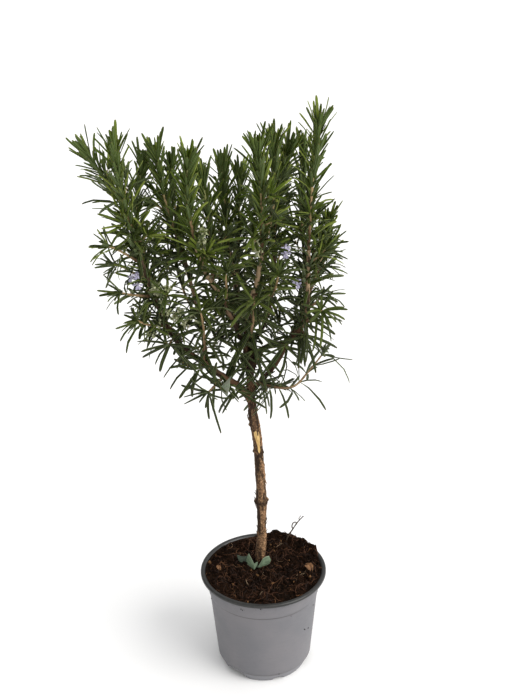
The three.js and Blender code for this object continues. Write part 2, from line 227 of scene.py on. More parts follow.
def smoothPath(points, steps=24):  # Catmull-Rom: a cubic through the points, with steps to each gap
    p = np.asarray(points, float) * mm
    p = np.vstack([2 * p[0] - p[1], p, 2 * p[-1] - p[-2]])
    t = np.linspace(0, len(p) - 3, (len(p) - 3) * steps + 1)
    i = np.minimum(t.astype(int), len(p) - 4)
    f = (t - i)[:, None]
    a, b, c, d = p[i], p[i + 1], p[i + 2], p[i + 3]
    return 0.5 * (2 * b + (c - a) * f + (2 * a - 5 * b + 4 * c - d) * f ** 2 + (3 * b - a - 3 * c + d) * f ** 3)


def runLength(path):
    return np.r_[0, np.cumsum(np.linalg.norm(np.diff(path, axis=0), axis=1))]


def along(path, lengths):  # the points at these lengths of run
    run = runLength(path)
    return np.stack([np.interp(lengths, run, path[:, axis]) for axis in range(3)], 1)


def evenly(path, count):
    return along(path, np.linspace(0, runLength(path)[-1], count))


def framesOf(paths):  # tangent, side and rise at each point of one path or many: side x rise = tangent
    tangent = unit(np.gradient(paths, axis=-2))
    chord = np.abs(paths[..., -1:, :] - paths[..., :1, :])
    reference = np.where(chord[..., 1:2] > chord[..., 0:1], [1.0, 0, 0], [0.0, 1, 0])
    side = unit(np.cross(np.broadcast_to(reference, tangent.shape), tangent))
    return tangent, side, np.cross(tangent, side)


def gridQuads(rows, columns):  # quads of a grid whose columns close on themselves
    i, j = np.meshgrid(np.arange(rows - 1), np.arange(columns), indexing="ij")
    k = (j + 1) % columns
    quads = np.stack([i * columns + j, i * columns + k, (i + 1) * columns + k, (i + 1) * columns + j], -1)
    return quads.reshape(-1, 4)


def fans(rows, columns):  # the triangles that close a tube on a centre point at each end
    j = np.arange(columns)
    k = (j + 1) % columns
    start, end, last = rows * columns, rows * columns + 1, (rows - 1) * columns
    first = np.stack([np.full(columns, start), k, j], -1)
    return np.vstack([first, np.stack([np.full(columns, end), last + j, last + k], -1)])


def tubes(paths, radii, sides):
    # many closed tubes at once: path + radius x (cos a side + sin a rise); radii broadcast to (tubes, rows, sides)
    count, rows = paths.shape[:2]
    tangent, side, rise = framesOf(paths)
    angle = np.arange(sides) / sides * fullTurn
    wide = np.broadcast_to(radii, (count, rows, sides))[..., None]
    ring = np.cos(angle)[:, None] * side[:, :, None] + np.sin(angle)[:, None] * rise[:, :, None]
    skin = (paths[:, :, None] + wide * ring).reshape(count, -1, 3)
    points = np.concatenate([skin, paths[:, :1], paths[:, -1:]], axis=1)
    step = (np.arange(count) * points.shape[1])[:, None, None]
    faces = [(shape + step).reshape(-1, shape.shape[1]) for shape in (gridQuads(rows, sides), fans(rows, sides))]
    return points.reshape(-1, 3), faces


def blades(base, heading, face, length, width, bend, droop, twist, outline, section):
    # many leaves at once. The midrib leaves base along heading and curves back from face by bend, as an arc,
    # and sinks by droop x length x s^2. Each ring is the section, scaled by the outline's half width there.
    s, half = np.asarray(outline).T
    across, high = np.asarray(section).T
    bend = np.where(np.abs(bend) < 1e-3, 1e-3, bend)[:, None, None]
    turn = bend * s[:, None]
    length = length[:, None, None]
    heading, face = heading[:, None, :], face[:, None, :]
    rib = base[:, None, :] + length / bend * (np.sin(turn) * heading - (1 - np.cos(turn)) * face)
    rib = rib - np.array([0, 0, 1.0]) * (droop[:, None, None] * length * (s ** 2)[:, None])
    up = face * np.cos(turn) + heading * np.sin(turn)
    side = np.broadcast_to(np.cross(face, heading), up.shape)
    roll = twist[:, None, None] * s[:, None]
    side, up = side * np.cos(roll) + up * np.sin(roll), up * np.cos(roll) - side * np.sin(roll)
    wide = (width[:, None] * half / 2)[:, :, None, None]
    skin = rib[:, :, None] + wide * (across[:, None] * side[:, :, None] + high[:, None] * up[:, :, None])
    rows, columns = len(s), len(across)
    points = np.concatenate([skin[:, :-1].reshape(len(base), -1, 3), rib[:, :1], rib[:, -1:]], axis=1)
    return points, rows - 1, columns


def bladeFaces(count, rows, columns):
    each = rows * columns + 2
    step = (np.arange(count) * each)[:, None, None]
    return [(shape + step).reshape(-1, shape.shape[1]) for shape in (gridQuads(rows, columns), fans(rows, columns))]


def pebbles(centres, sizes, seed, rings=3, columns=6):
    # many lumps at once: a ball of latitude rings, pushed in and out at random
    own = np.random.default_rng(seed)
    count = len(centres)
    lat = np.linspace(-1, 1, rings + 2)[1:-1] * math.pi / 2
    lon = np.arange(columns) / columns * fullTurn
    ball = np.stack([np.cos(lat)[:, None] * np.cos(lon), np.cos(lat)[:, None] * np.sin(lon),
                     np.sin(lat)[:, None] * np.ones(columns)], -1).reshape(-1, 3)
    ball = np.vstack([ball, [[0, 0, -1], [0, 0, 1]]])
    push = own.uniform(0.6, 1.3, (count, len(ball), 1))
    skin = ball * push * sizes[:, None, :]
    spin = own.uniform(0, fullTurn, count)[:, None]
    x, y = skin[..., 0], skin[..., 1]
    turned = np.stack([x * np.cos(spin) - y * np.sin(spin), x * np.sin(spin) + y * np.cos(spin), skin[..., 2]], -1)
    return (centres[:, None, :] + turned).reshape(-1, 3), bladeFaces(count, rings, columns)


def ribbon(edges, rows, columns, thick, bulge, crease=0.0):
    # a thin sheet between two edges that run through the given pairs of points. Its middle swells by
    # bulge x sin(pi v); the front's skin runs from v 0 to 1 and the back's from 1 to 0, so that it closes
    edges = np.asarray(edges, float)
    u = np.linspace(0, len(edges) - 1, rows)
    low = np.minimum(u.astype(int), len(edges) - 2)
    part = (u - low)[:, None, None]
    part = part + crease * np.sin(2 * math.pi * part) / fullTurn
    line = edges[low] * (1 - part) + edges[low + 1] * part
    v = np.linspace(0, 1, columns)[None, :, None]
    middle = line[:, :1] * (1 - v) + line[:, 1:] * v
    normal = unit(np.cross(np.gradient(middle, axis=1), np.gradient(middle, axis=0)))
    middle = middle + bulge * np.sin(math.pi * v) * normal
    half = thick / 2 * (0.25 + 0.75 * np.sin(math.pi * v) ** 0.5) * normal
    skin = np.concatenate([middle + half, (middle - half)[:, ::-1]], axis=1)
    points = np.concatenate([skin.reshape(-1, 3), skin[:1].mean(1), skin[-1:].mean(1)])
    faces = [gridQuads(rows, 2 * columns), fans(rows, 2 * columns)]
    along = np.r_[np.repeat(u / (len(edges) - 1), 2 * columns), 0, 1]
    across = np.r_[np.tile(np.r_[v.ravel(), v.ravel()[::-1]], rows), 0.5, 0.5]
    return points, faces, along, across


# the view, the light and the floor

studio = {
    "target": (0.0023, 0, 0.3547),
    "distance": 0.9446,
    "pitch": 22.75,          # degrees that the camera looks down
    "roll": -0.8,
    "lens": 51.43,           # on a 36 mm sensor along the frame's long side
    "skyLight": 0.68,
    "skySide": 0.68,         # how much brighter the sky is towards the key side
    "keySide": (0.72, -0.42, 0.62),
    "sunLight": 1.9,
    "sunSize": 45,           # degrees across, for soft shadows
    "floorSize": 60,
    "floorColour": tone(246, 246, 246),
}


def buildStudio():
    pitch, roll = math.radians(studio["pitch"]), math.radians(studio["roll"])
    target = np.array(studio["target"])
    place = target - studio["distance"] * np.array([0, math.cos(pitch), -math.sin(pitch)])
    lens = bpy.data.cameras.new("view")
    lens.lens = studio["lens"]
    lens.sensor_width = 36
    lens.clip_end = 200
    camera = bpy.data.objects.new("view", lens)
    camera.rotation_mode = "XYZ"
    from mathutils import Matrix
    turn = Matrix.Rotation(math.pi / 2 - pitch, 4, "X") @ Matrix.Rotation(roll, 4, "Z")
    camera.matrix_world = Matrix.Translation(place) @ turn
    bpy.context.scene.collection.objects.link(camera)
    bpy.context.scene.camera = camera

    key = np.array(studio["keySide"])
    sun = bpy.data.lights.new("key", "SUN")
    sun.energy = studio["sunLight"]
    sun.angle = math.radians(studio["sunSize"])
    sun.color = (1, 0.98, 0.95)
    sunObject = bpy.data.objects.new("key", sun)
    from mathutils import Vector
    sunObject.rotation_euler = Vector(key).to_track_quat("Z", "Y").to_euler()
    bpy.context.scene.collection.objects.link(sunObject)

    world = bpy.data.worlds.new("studio")
    bpy.context.scene.world = world
    world.use_nodes = True
    tree = world.node_tree
    background = tree.nodes["Background"]
    background.inputs["Color"].default_value = (1, 1, 1, 1)
    coordinates = tree.nodes.new("ShaderNodeTexCoord")
    side = tree.nodes.new("ShaderNodeVectorMath")
    side.operation = "DOT_PRODUCT"
    side.inputs[1].default_value = key / np.linalg.norm(key) * studio["skySide"]
    tree.links.new(coordinates.outputs["Generated"], side.inputs[0])
    level = tree.nodes.new("ShaderNodeMath")
    level.operation = "ADD"
    level.inputs[1].default_value = studio["skyLight"]
    tree.links.new(side.outputs["Value"], level.inputs[0])
    tree.links.new(level.outputs[0], background.inputs["Strength"])

    half = studio["floorSize"] / 2
    mesh = bpy.data.meshes.new("floor")
    mesh.from_pydata([(-half, -half, 0), (half, -half, 0), (half, half, 0), (-half, half, 0)], [], [(0, 1, 2, 3)])
    floor = bpy.data.objects.new("floor", mesh)
    bpy.context.scene.collection.objects.link(floor)
    paint = Paint("pale_floor")
    faint = paint.noise(paint.place(), 300, 2)
    light = tuple(min(1, 1.02 * c) for c in studio["floorColour"])
    mesh.materials.append(paint.finish(paint.mix(faint, studio["floorColour"], light), 0.9))
    bpy.context.scene.view_settings.view_transform = "Standard"
    print("studio ready")


buildStudio()


# ---- the pot

pot = {
    "rimRadius": 65.0,
    "height": 110.0,
    "wall": 1.2,
    "lipWidth": 4.0,
    "lipHeight": 4.0,
    "bandBottom": 88.0,
    "bandStep": 0.9,
    "shoulderRadius": 56.4,
    "bodyRadius": 49.2,      # at the foot's top
    "footTop": 10.5,
    "footStep": 0.8,
    "footRadius": 44.2,
    "floorTop": 11.8,
    "drains": 6,
    "drainHeight": np.array([3.4, 9.2]),    # narrow and wide drains in turn
    "drainWide": np.array([12.0, 30.0]),
    "drainNarrow": np.array([6.0, 17.0]),
    "drainTurn": 18.0,       # degrees from the front to the first drain
    "holeRadius": 3.5,
    "holeRing": 36.0,
    "sides": 360,
}


def potWall(z):  # the outside radius at height z, in millimetres
    band = pot["shoulderRadius"] + pot["bandStep"] + 1.9 * (z - pot["bandBottom"]) / 18
    share = (z - pot["footTop"]) / (pot["bandBottom"] - pot["footTop"])
    body = pot["bodyRadius"] + (pot["shoulderRadius"] - pot["bodyRadius"]) * share
    foot = pot["bodyRadius"] - pot["footStep"] - (pot["footTop"] - z) * 0.39
    return np.where(z >= pot["bandBottom"], band, np.where(z > pot["footTop"], body, foot))


def potPaint():
    paint = Paint("pot_plastic")
    where = paint.place()
    high = paint.split(where, "Z")
    inside = paint.value("inside").rises(0.45, 0.55)
    cloud = paint.noise(where, 45, 4)
    grain = paint.noise(paint.place((1, 1, 5)), 9, 5, 0.65)    # lines drawn round the wall
    grey = paint.mix(cloud.rises(0.3, 0.7), tone(101, 101, 105), tone(110, 108, 111))
    grey = paint.mix(grain.rises(0.52, 0.8) * 0.35, grey, tone(92, 92, 96))
    # painted shadow: a thin dark line just below the band's step and just below the foot's top
    stepShadow = abs(high - pot["bandBottom"] + 0.5).rises(1.1, 0.4) + abs(high - pot["footTop"] + 0.7).rises(1.0, 0.5)
    dirt = paint.noise(where, 3.2, 5, 0.7).rises(0.55, 0.75) * high.rises(84, 104) * 0.5
    scuff = paint.noise(paint.place((1, 1, 0.2)), 2.4, 4, 0.7).rises(0.66, 0.72) * high.rises(70, 20) * 0.3
    # the dirt near the rim and the painted step shadows are darkened together
    grey = paint.mix(dirt + stepShadow * 0.62, grey, tone(54, 50, 47))
    grey = paint.mix(scuff, grey, tone(126, 125, 126))
    # painted light: the foot below its step is lightened
    grey = paint.mix(high.rises(pot["footTop"] - 1.6, pot["footTop"] - 2.4) * 0.8, grey, tone(124, 124, 128))
    dust = paint.noise(where, 5, 5, 0.7)
    coal = paint.mix(dust.rises(0.45, 0.8), tone(27, 28, 27), tone(54, 51, 46))
    colour = paint.mix(inside, grey, coal)
    roughness = 0.4 + grain * 0.16 + dust * 0.14 - inside * 0.2
    height = paint.noise(where, 0.7, 2) * 0.5 + grain * 0.6
    return paint.finish(colour, roughness, height, 0.05)


def buildPot():
    wall, top, floorTop = pot["wall"], pot["height"], pot["floorTop"]
    bodyHeights = np.r_[0, 3, 6, 8.5, pot["footTop"] - 0.35, pot["footTop"] + 0.35, 13,
                        np.linspace(18, 82, 14), 85, pot["bandBottom"] - 0.4, pot["bandBottom"] + 0.4, 91, 97, 102]
    outer = np.stack([potWall(bodyHeights), bodyHeights], 1)
    outer[0, 0] = pot["footRadius"] - 0.3
    under = top - pot["lipHeight"]
    rim = pot["rimRadius"]
    lip = [[potWall(under) + 0.1, under - 0.8], [potWall(under) + 0.6, under], [rim - 1.2, under - 0.1]]
    roll = np.linspace(-70, 90, 9) * math.pi / 180
    lip += [[rim - 1.6 + 1.6 * math.cos(a), under + 1.6 + 1.5 * math.sin(a)] for a in roll[:5]]
    lip += [[rim - 1.6 + 1.6 * math.cos(a), top - 1.6 + 1.6 * math.sin(a)] for a in roll[4:]]
    edge = rim - pot["lipWidth"]
    lip += [[rim - 2.8, top - 0.05], [edge + 0.3, top - 0.2], [edge - 0.3, top - 0.9], [edge - 1.6, top - 2.4]]
    innerHeights = np.r_[105.5, 101, np.linspace(92, 22, 10), floorTop + 4, floorTop + 1.5]
    inner = np.stack([potWall(innerHeights) - wall, innerHeights], 1)
    floorIn = [[46, floorTop + 0.4], [44, floorTop], [pot["holeRing"] + 8, floorTop], [20, floorTop], [4, floorTop]]
    underFloor = floorTop - wall
    rings = np.linspace(pot["holeRing"] + 5.2, pot["holeRing"] - 5.2, 17)
    beneath = [[4, underFloor], [20, underFloor]] + [[r, underFloor] for r in rings[::-1]]
    footIn = [[42.4, underFloor], [42.8, underFloor - 0.4], [42.9, 2.5], [pot["footRadius"] - 1.5, 0]]
    profile = np.array([*map(list, outer), *lip, *map(list, inner), *floorIn, *beneath, *footIn])
    sides = pot["sides"]
    angle = np.arange(sides) / sides * fullTurn - math.pi / 2
    radius = np.repeat(profile[:, :1], sides, 1)
    high = np.repeat(profile[:, 1:], sides, 1)
    # each drain lifts the foot's edge by a trapezium: its full height inside its narrow top, none past its width
    start = math.radians(pot["drainTurn"])
    spacing = fullTurn / pot["drains"]
    fromFirst = angle + math.pi / 2 - start + spacing / 2
    off = np.abs(fromFirst % spacing - spacing / 2) * pot["footRadius"]
    wide = np.floor(fromFirst / spacing).astype(int) % 2
    slope = (pot["drainWide"] - pot["drainNarrow"])[wide] / 2
    lift = pot["drainHeight"][wide] * np.clip((pot["drainWide"][wide] / 2 - off) / slope, 0, 1)
    high = np.where(high < lift, lift + 0.02 * high, high)
    # the holes are dished up into the floor from below
    beneathRow = len(outer) + len(lip) + len(inner) + len(floorIn)
    rows = slice(beneathRow, beneathRow + len(beneath))
    centre = (angle + math.pi / 2 - start + spacing / 2) % spacing - spacing / 2
    away = np.hypot(radius[rows] * np.cos(centre) - pot["holeRing"], radius[rows] * np.sin(centre))
    high[rows] += 0.9 * np.clip((pot["holeRadius"] - away) / 0.5, 0, 1)
    points = np.stack([radius * np.cos(angle), radius * np.sin(angle), high], -1) * mm
    inside = np.zeros(radius.shape)
    inside[len(outer) + 1:beneathRow] = 1
    inside[rows] = np.clip((pot["holeRadius"] - away) / 0.5, 0, 1)
    clay = Clay()
    loop = gridQuads(len(profile) + 1, sides) % (len(profile) * sides)
    # the profile runs out and up, then in and down, so the floor's two sides are joined across the middle
    gap = len(outer) + len(lip) + len(inner) + len(floorIn) - 1
    keep = np.ones(len(loop), bool)
    keep[gap * sides:(gap + 1) * sides] = False
    centres = np.array([[0, 0, floorTop], [0, 0, underFloor]]) * mm
    j = np.arange(sides)
    k = (j + 1) % sides
    total = len(profile) * sides
    closeIn = np.stack([np.full(sides, total), gap * sides + k, gap * sides + j], -1)[:, ::-1]
    closeUnder = np.stack([np.full(sides, total + 1), (gap + 1) * sides + j, (gap + 1) * sides + k], -1)[:, ::-1]
    clay.add(np.vstack([points.reshape(-1, 3), centres]), [loop[keep], np.vstack([closeIn, closeUnder])],
             inside=np.r_[inside.ravel(), 1, 0])
    clay.fire("nursery_pot", "pot_plastic", [potPaint()], "pot")
    print("pot ready")


buildPot()


# ---- the peat

peat = {
    "radius": 61.2,
    "edge": 109.0,           # height at the wall
    "crown": 109.6,
    "bottom": 12.2,
    "heap": (18, 92),        # degrees round the pot, from +X, where the peat is heaped over the rim
    "heapReach": 3.6,
    "rings": 150,
    "spokes": 400,
    "crumbs": 1500,
    "fibres": 520,
    "roots": 22,
    # specks of peat that stuck to the pot: height in millimetres, and degrees round it from +X
    "specks": [(98.4, -112.8), (97.6, -111.2), (103, -105.4), (102.7, -98.5), (101.6, -93), (85.5, -61.1),
               (78.5, -24.1), (57.7, -40.2), (56.2, -38.6), (53.5, -31.4), (10.8, -72.6), (99, -150), (84, -163)],
    "speckSize": 0.55,
}


def heapShare(angle):  # 1 where the peat is heaped over the rim, falling off smoothly to 0 at its ends
    low, high = np.radians(peat["heap"])
    off = np.abs((angle - (low + high) / 2 + math.pi) % fullTurn - math.pi) / ((high - low) / 2)
    return np.clip(1.5 - 1.5 * off ** 3, 0, 1)


def peatReach(angle):  # how far out the peat's surface goes
    ragged = lumps(np.stack([7 * np.cos(angle), 7 * np.sin(angle), 0 * angle], -1), 1, 51)
    return peat["radius"] + (peat["heapReach"] + 1.4 * ragged) * heapShare(angle)


def peatHeight(x, y):  # a low dome with lumps on lumps, higher where it is heaped; all in millimetres
    angle = np.arctan2(y, x)
    fromMiddle = np.hypot(x, y) / peatReach(angle)
    dome = peat["edge"] + (peat["crown"] - peat["edge"]) * (1 - fromMiddle ** 3)
    flat = np.stack([x, y, 0 * x], -1)
    heap = heapShare(angle) * np.clip((fromMiddle - 0.5) / 0.5, 0, 1) ** 1.5 * (3.6 + 2.4 * lumps(flat, 7, 23))
    rough = 2.2 * crumble(flat, 17, 3, 3) + 2.1 * crumble(flat, 7, 11, 4)
    clods = 1.7 * np.abs(lumps(flat, 3.6, 31)) + 0.8 * np.abs(lumps(flat, 1.8, 37))
    calm = np.clip(1.3 - fromMiddle ** 5 + 0.5 * heapShare(angle), 0.3, 1)
    return dome + heap + (rough + clods) * calm - 1.5


def peatPaint():
    paint = Paint("peat", Specular_IOR_Level=0.06)
    where = paint.place()
    shade = paint.value("shade")
    broad = paint.noise(where, 14, 4, 0.6)
    fine = paint.noise(where, 2.2, 6, 0.75)
    colour = paint.mix(broad.rises(0.35, 0.65), tone(15, 8, 4), tone(30, 18, 10))
    colour = paint.mix(fine.rises(0.52, 0.7) * 0.7, colour, tone(66, 41, 24))
    colour = paint.mix(fine.rises(0.48, 0.36) * 0.9, colour, tone(5, 3, 1))
    dry = paint.noise(where, 5.5, 3).rises(0.62, 0.78) * 0.4
    colour = paint.mix(dry, colour, tone(84, 58, 37))
    colour = paint.mix(shade.rises(0, 1), colour, tone(146, 108, 72))
    height = fine + paint.noise(where, 0.6, 3) * 0.5
    return paint.finish(colour, 0.86 + fine * 0.1, height, 0.7)


def fibrePaint():
    paint = Paint("peat_fibre", Specular_IOR_Level=0.3)
    shade = paint.value("shade")
    patch = paint.noise(paint.place(), 1.6, 3)
    colour = paint.mix(shade.rises(0, 0.35), tone(30, 18, 11), tone(74, 44, 26))
    colour = paint.mix(shade.rises(0.35, 0.75), colour, tone(112, 76, 48))
    colour = paint.mix(shade.rises(0.75, 1), colour, tone(168, 146, 118))
    colour = paint.mix(patch.rises(0.45, 0.7) * 0.6, colour, tone(44, 28, 18))
    return paint.finish(colour, 0.8, patch, 0.15)


def onPeat(count, own, most=0.95):  # random places on the peat
    angle = own.uniform(0, fullTurn, count)
    away = peatReach(angle) * most * np.sqrt(own.uniform(0, 1, count))
    x, y = away * np.cos(angle), away * np.sin(angle)
    return np.stack([x, y, peatHeight(x, y)], 1)


def layStrands(starts, headings, lengths, wander, lift, own, steps=10):
    # strands whose heading wanders as they go, held to the peat's height plus an arch: lift x sin(pi s)
    s = np.linspace(0, 1, steps)
    turn = headings[:, None] + wander * np.cumsum(own.normal(0, 1, (len(starts), steps)), axis=1) / math.sqrt(steps)
    step = (lengths / (steps - 1))[:, None]
    x = starts[:, :1] + np.cumsum(np.cos(turn) * step, axis=1)
    y = starts[:, 1:2] + np.cumsum(np.sin(turn) * step, axis=1)
    far = np.hypot(x, y) / (peatReach(np.arctan2(y, x)) - 0.8)
    x, y = x / np.maximum(far, 1), y / np.maximum(far, 1)
    z = peatHeight(x, y) + lift[:, None] * np.sin(math.pi * s) + 0.1
    return np.stack([x, y, z], -1) * mm


def buildPeat():
    own = np.random.default_rng(5)
    rings, spokes = peat["rings"], peat["spokes"]
    angle = np.arange(spokes) / spokes * fullTurn
    away = (np.linspace(0.004, 1, rings) ** 0.8)[:, None] * peatReach(angle)
    x, y = away * np.cos(angle), away * np.sin(angle)
    top = np.stack([x, y, peatHeight(x, y)], -1)[::-1]
    # under its edge the surface rolls back in over the rim, then the block follows the wall down to the floor
    heap = heapShare(angle)
    rolled = np.array([[0.35, 0.9], [0.6, 0.35], [2.6, 0.1], [3.4, -1.6]])
    over = peat["radius"] + peat["heapReach"] * heap - rolled[:, :1] - 1.2 * heap * (rolled[:, :1] > 2)
    overHigh = np.where(heap > 0.05, pot["height"] + 0.2, peat["edge"] - 0.6) + rolled[:, 1:] * heap
    depths = np.array([104, 100, 88, 60, 30, 16, peat["bottom"]])
    radii = potWall(depths) - pot["wall"] - 0.5
    radii[-1] -= 3
    away = np.concatenate([over, radii[:, None] * np.ones(spokes)])
    high = np.concatenate([overHigh, depths[:, None] * np.ones(spokes)])
    block = np.stack([away * np.cos(angle), away * np.sin(angle), high], -1)
    points = np.concatenate([block[::-1], top]) * mm
    rows = len(points)
    skin = points.reshape(-1, 3)
    skin = np.vstack([skin, [[0, 0, peat["bottom"] * mm], [0, 0, float(peatHeight(np.zeros(1), np.zeros(1))[0]) * mm]]])
    clay = Clay()
    clay.add(skin, [gridQuads(rows, spokes), fans(rows, spokes)], shade=0)
    clay.fire("peat_block", "peat", [peatPaint()], "soil")

    clay = Clay()
    count = peat["crumbs"]
    places = onPeat(count, own, 0.97)
    size = own.uniform(0.5, 1.6, count) * np.where(own.uniform(size=count) > 0.9, 1.7, 1)
    places[:, 2] += size * 0.25
    sizes = size[:, None] * own.uniform(0.6, 1.2, (count, 3))
    shade = np.repeat(np.where(own.uniform(size=count) > 0.97, own.uniform(0.2, 0.7, count), 0), 20)
    points, faces = pebbles(places * mm, sizes * mm, 8)
    clay.add(points, faces, shade=shade)
    high, turn = np.array(peat["specks"]).T
    turn = np.radians(turn)
    away = potWall(high) + 0.1
    places = np.stack([away * np.cos(turn), away * np.sin(turn), high], 1)
    sizes = peat["speckSize"] * own.uniform(0.7, 1.4, (len(places), 3))
    points, faces = pebbles(places * mm, sizes * mm, 9)
    clay.add(points, faces, shade=0)
    clay.fire("peat_crumbs", "peat", [peatPaint()])

    clay = Clay()
    count = peat["fibres"]
    starts = onPeat(count, own)
    paths = layStrands(starts, own.uniform(0, fullTurn, count), own.gamma(3, 3.2, count) + 3, 1.0,
                       own.uniform(0, 1.8, count), own)
    radii = own.uniform(0.16, 0.42, count)[:, None, None] * np.linspace(1, 0.5, 10)[:, None] * mm
    points, faces = tubes(paths, radii, 4)
    shade = own.choice([0.05, 0.3, 0.5, 0.7], count, p=[0.42, 0.36, 0.17, 0.05])
    clay.add(points, faces, shade=np.repeat(shade, len(points) // count))
    count = peat["roots"]
    starts = onPeat(count, own)
    paths = layStrands(starts, own.uniform(0, fullTurn, count), own.gamma(3, 3, count) + 3, 1.3,
                       own.uniform(0.2, 2, count), own)
    radii = own.uniform(0.14, 0.3, count)[:, None, None] * np.linspace(1, 0.5, 10)[:, None] * mm
    points, faces = tubes(paths, radii, 4)
    clay.add(points, faces, shade=np.repeat(own.uniform(0.75, 1, count), len(points) // count))
    clay.fire("peat_fibres", "peat", [fibrePaint()])
    print("peat ready")


buildPeat()


# ---- the wood

limbs = {  # points in millimetres and the radii along them
    "trunk": ([[-3, 12, 62], [-3, 12, 107], [-1, 12, 148], [-1, 10, 185], [-2, 8, 222], [-4, 5, 256],
               [-8, 2, 289], [-10, 2, 318], [-10, 5, 348]],
              [3.5, 3.8, 4.2, 4.6, 5.2, 5.1, 5, 5, 4.9, 5.0, 5.3, 5.1, 4.9, 4.9, 4.7, 4.6, 4.6, 4.8, 4.6, 4.3,
               4.2, 4, 3.6, 3.8, 4.8]),
    "left_branch": ([[-10, 2, 301], [-21, -5, 320], [-50, -17, 347], [-78, -22, 377], [-96, -20, 421],
                     [-106, -22, 459]], [3.4, 3.2, 2.8, 2.3, 2, 1.8]),
    "left_back_branch": ([[-49, -17, 346], [-54, 10, 366], [-63, 22, 408], [-72, 24, 445]], [1.9, 1.8, 1.6, 1.5]),
    "centre_left_branch": ([[-10, 4, 340], [-20, -5, 377], [-37, -15, 417], [-48, -22, 442], [-55, -30, 468]],
                           [2.8, 2.5, 2.2, 2, 1.8]),
    "centre_branch": ([[-10, 4, 343], [-10, 0, 375], [-8, -8, 405], [-2, -15, 427], [3, -22, 458]],
                      [2.8, 2.4, 2.2, 1.9, 1.7]),
    "right_branch": ([[-9, 5, 347], [8, 9, 355], [28, 6, 362], [42, 0, 385], [45, -4, 420], [45, -5, 454]],
                     [2.6, 2.5, 2.4, 2.2, 1.9, 1.8]),
    "low_right_branch": ([[-10, 2, 311], [7, 12, 325], [21, 18, 343], [42, 30, 386], [52, 31, 413], [60, 28, 442]],
                         [2.4, 2.2, 2, 1.8, 1.6, 1.5]),
    "back_branch": ([[-10, 4, 344], [-12, 20, 357], [-19, 39, 382], [-25, 50, 418], [-28, 53, 445]],
                    [2.6, 2.4, 2.1, 1.8, 1.6]),
    "back_right_branch": ([[-11, 14, 352], [2, 30, 364], [11, 45, 388], [15, 50, 417]], [1.9, 1.8, 1.6, 1.5]),
}
limbPaths = {name: smoothPath(points) for name, (points, radii) in limbs.items()}

bark = {
    "flakeDepth": 0.5,
    "knot": 184,             # the height of the ring of creases
    "scar": (270, 243),      # the bare wood's top and bottom, in millimetres of height
    "scarTurn": -84,         # degrees round the trunk, from +X
    "scarHalf": 40,
    "nubs": [(245, 200), (243, -20), (205, 120), (160, 30), (291, 20), (226, -60), (276, 190)],
    "flakes": 150,
    "knobs": [(-9, 3, 342), (-13, 1, 346), (-4, 3, 345), (-10, 1, 351)],    # the ragged lump where the limbs part
    "knobSizes": [(7, 6, 10), (7, 5, 5), (7, 5, 6), (6, 5, 5)],
}


def barkPaint(name, young):
    paint = Paint(name, Specular_IOR_Level=0.18)
    where = paint.place()
    drawn = paint.noise(paint.place((1, 1, 0.16)), 1.7, 5, 0.7, 0.4)     # fibres along the wood
    plates = paint.noise(paint.place((1, 1, 0.3)), 5, 4, 0.6)
    relief = paint.value("relief")
    bare = paint.value("bare")
    side = paint.split(where, "X")
    colour = paint.mix(plates.rises(0.35, 0.65), tone(66, 49, 34), tone(98, 75, 52))
    colour = paint.mix(drawn.rises(0.5, 0.72) * 0.8, colour, tone(140, 110, 82))
    colour = paint.mix(drawn.rises(0.46, 0.3) * 0.85, colour, tone(42, 29, 19))
    colour = paint.mix(relief.rises(0.55, 0.95) * 0.5, colour, tone(128, 94, 68))
    if young:
        colour = paint.mix(0.45, colour, tone(66, 48, 35))
        high = paint.split(where, "Z").rises(375, 425)      # the upper wood is this year's, and still tan
        colour = paint.mix(high * (0.35 + drawn * 0.5), colour, tone(206, 178, 142))
    else:
        # pale flakes, partly the bark's own, kept as painted light to the side towards +X that faces the key light
        pale = paint.noise(where, 1.9, 4, 0.65).rises(0.5, 0.58) * side.rises(-4, 3) * 0.8
        colour = paint.mix(pale, colour, tone(172, 134, 98))
        pit = paint.noise(paint.place((1, 1, 0.7)), 1.5, 4, 0.7).rises(0.52, 0.58) * 0.85
        colour = paint.mix(pit, colour, tone(34, 23, 15))
        flake = paint.noise(paint.place((1, 1, 0.6)), 1.4, 3, 0.6).rises(0.56, 0.61) * 0.8
        colour = paint.mix(flake, colour, tone(178, 142, 104))
        # painted shade: the side towards -X, away from the key light, is darkened
        colour = paint.mix(side.rises(-1, -5) * 0.45, colour, tone(44, 31, 22))
    # painted shade: the sunk bark between the plates and in the knot's creases, where relief is low, is darkened
    colour = paint.mix(relief.rises(0.4, 0.05) * 0.8, colour, tone(34, 22, 15))
    if not young:
        wood = paint.mix(drawn.rises(0.35, 0.65), tone(176, 143, 88), tone(212, 180, 122))
        colour = paint.mix(bare.rises(0.35, 0.7), colour, wood)
        rim = bare.rises(0.1, 0.4) * bare.rises(0.75, 0.4) * 0.7
        colour = paint.mix(rim, colour, tone(66, 44, 30))
    height = drawn * 0.8 + plates * 0.4
    return paint.finish(colour, 0.7 + drawn * 0.2, height, 0.35)


def woodSkin(path, radii, sides, rows, seed, depth):
    # a tube whose radius carries flaking bark: noise stretched along the wood, cut into plates, over finer noise
    line = evenly(path, rows)
    share = np.linspace(0, 1, rows)
    radius = np.interp(share, np.linspace(0, 1, len(radii)), radii)
    angle = np.arange(sides) / sides * fullTurn
    run = share * runLength(path)[-1] / mm
    spot = np.stack([radius[:, None] * np.cos(angle), radius[:, None] * np.sin(angle),
                     run[:, None] * np.ones(sides)], -1)
    tall = spot * [1, 1, 0.17]
    plates = np.clip(crumble(tall, 3.1, seed, 3) * 2.6 + 0.4, 0, 1)
    grain = crumble(spot * [1, 1, 0.12], 1.0, seed + 9, 3)
    burls = lumps(spot, 9, seed + 20) * 0.35
    wide = radius[:, None] + depth * (plates - 0.5) + 0.22 * depth * grain + burls * depth
    return line, angle, run, wide, plates


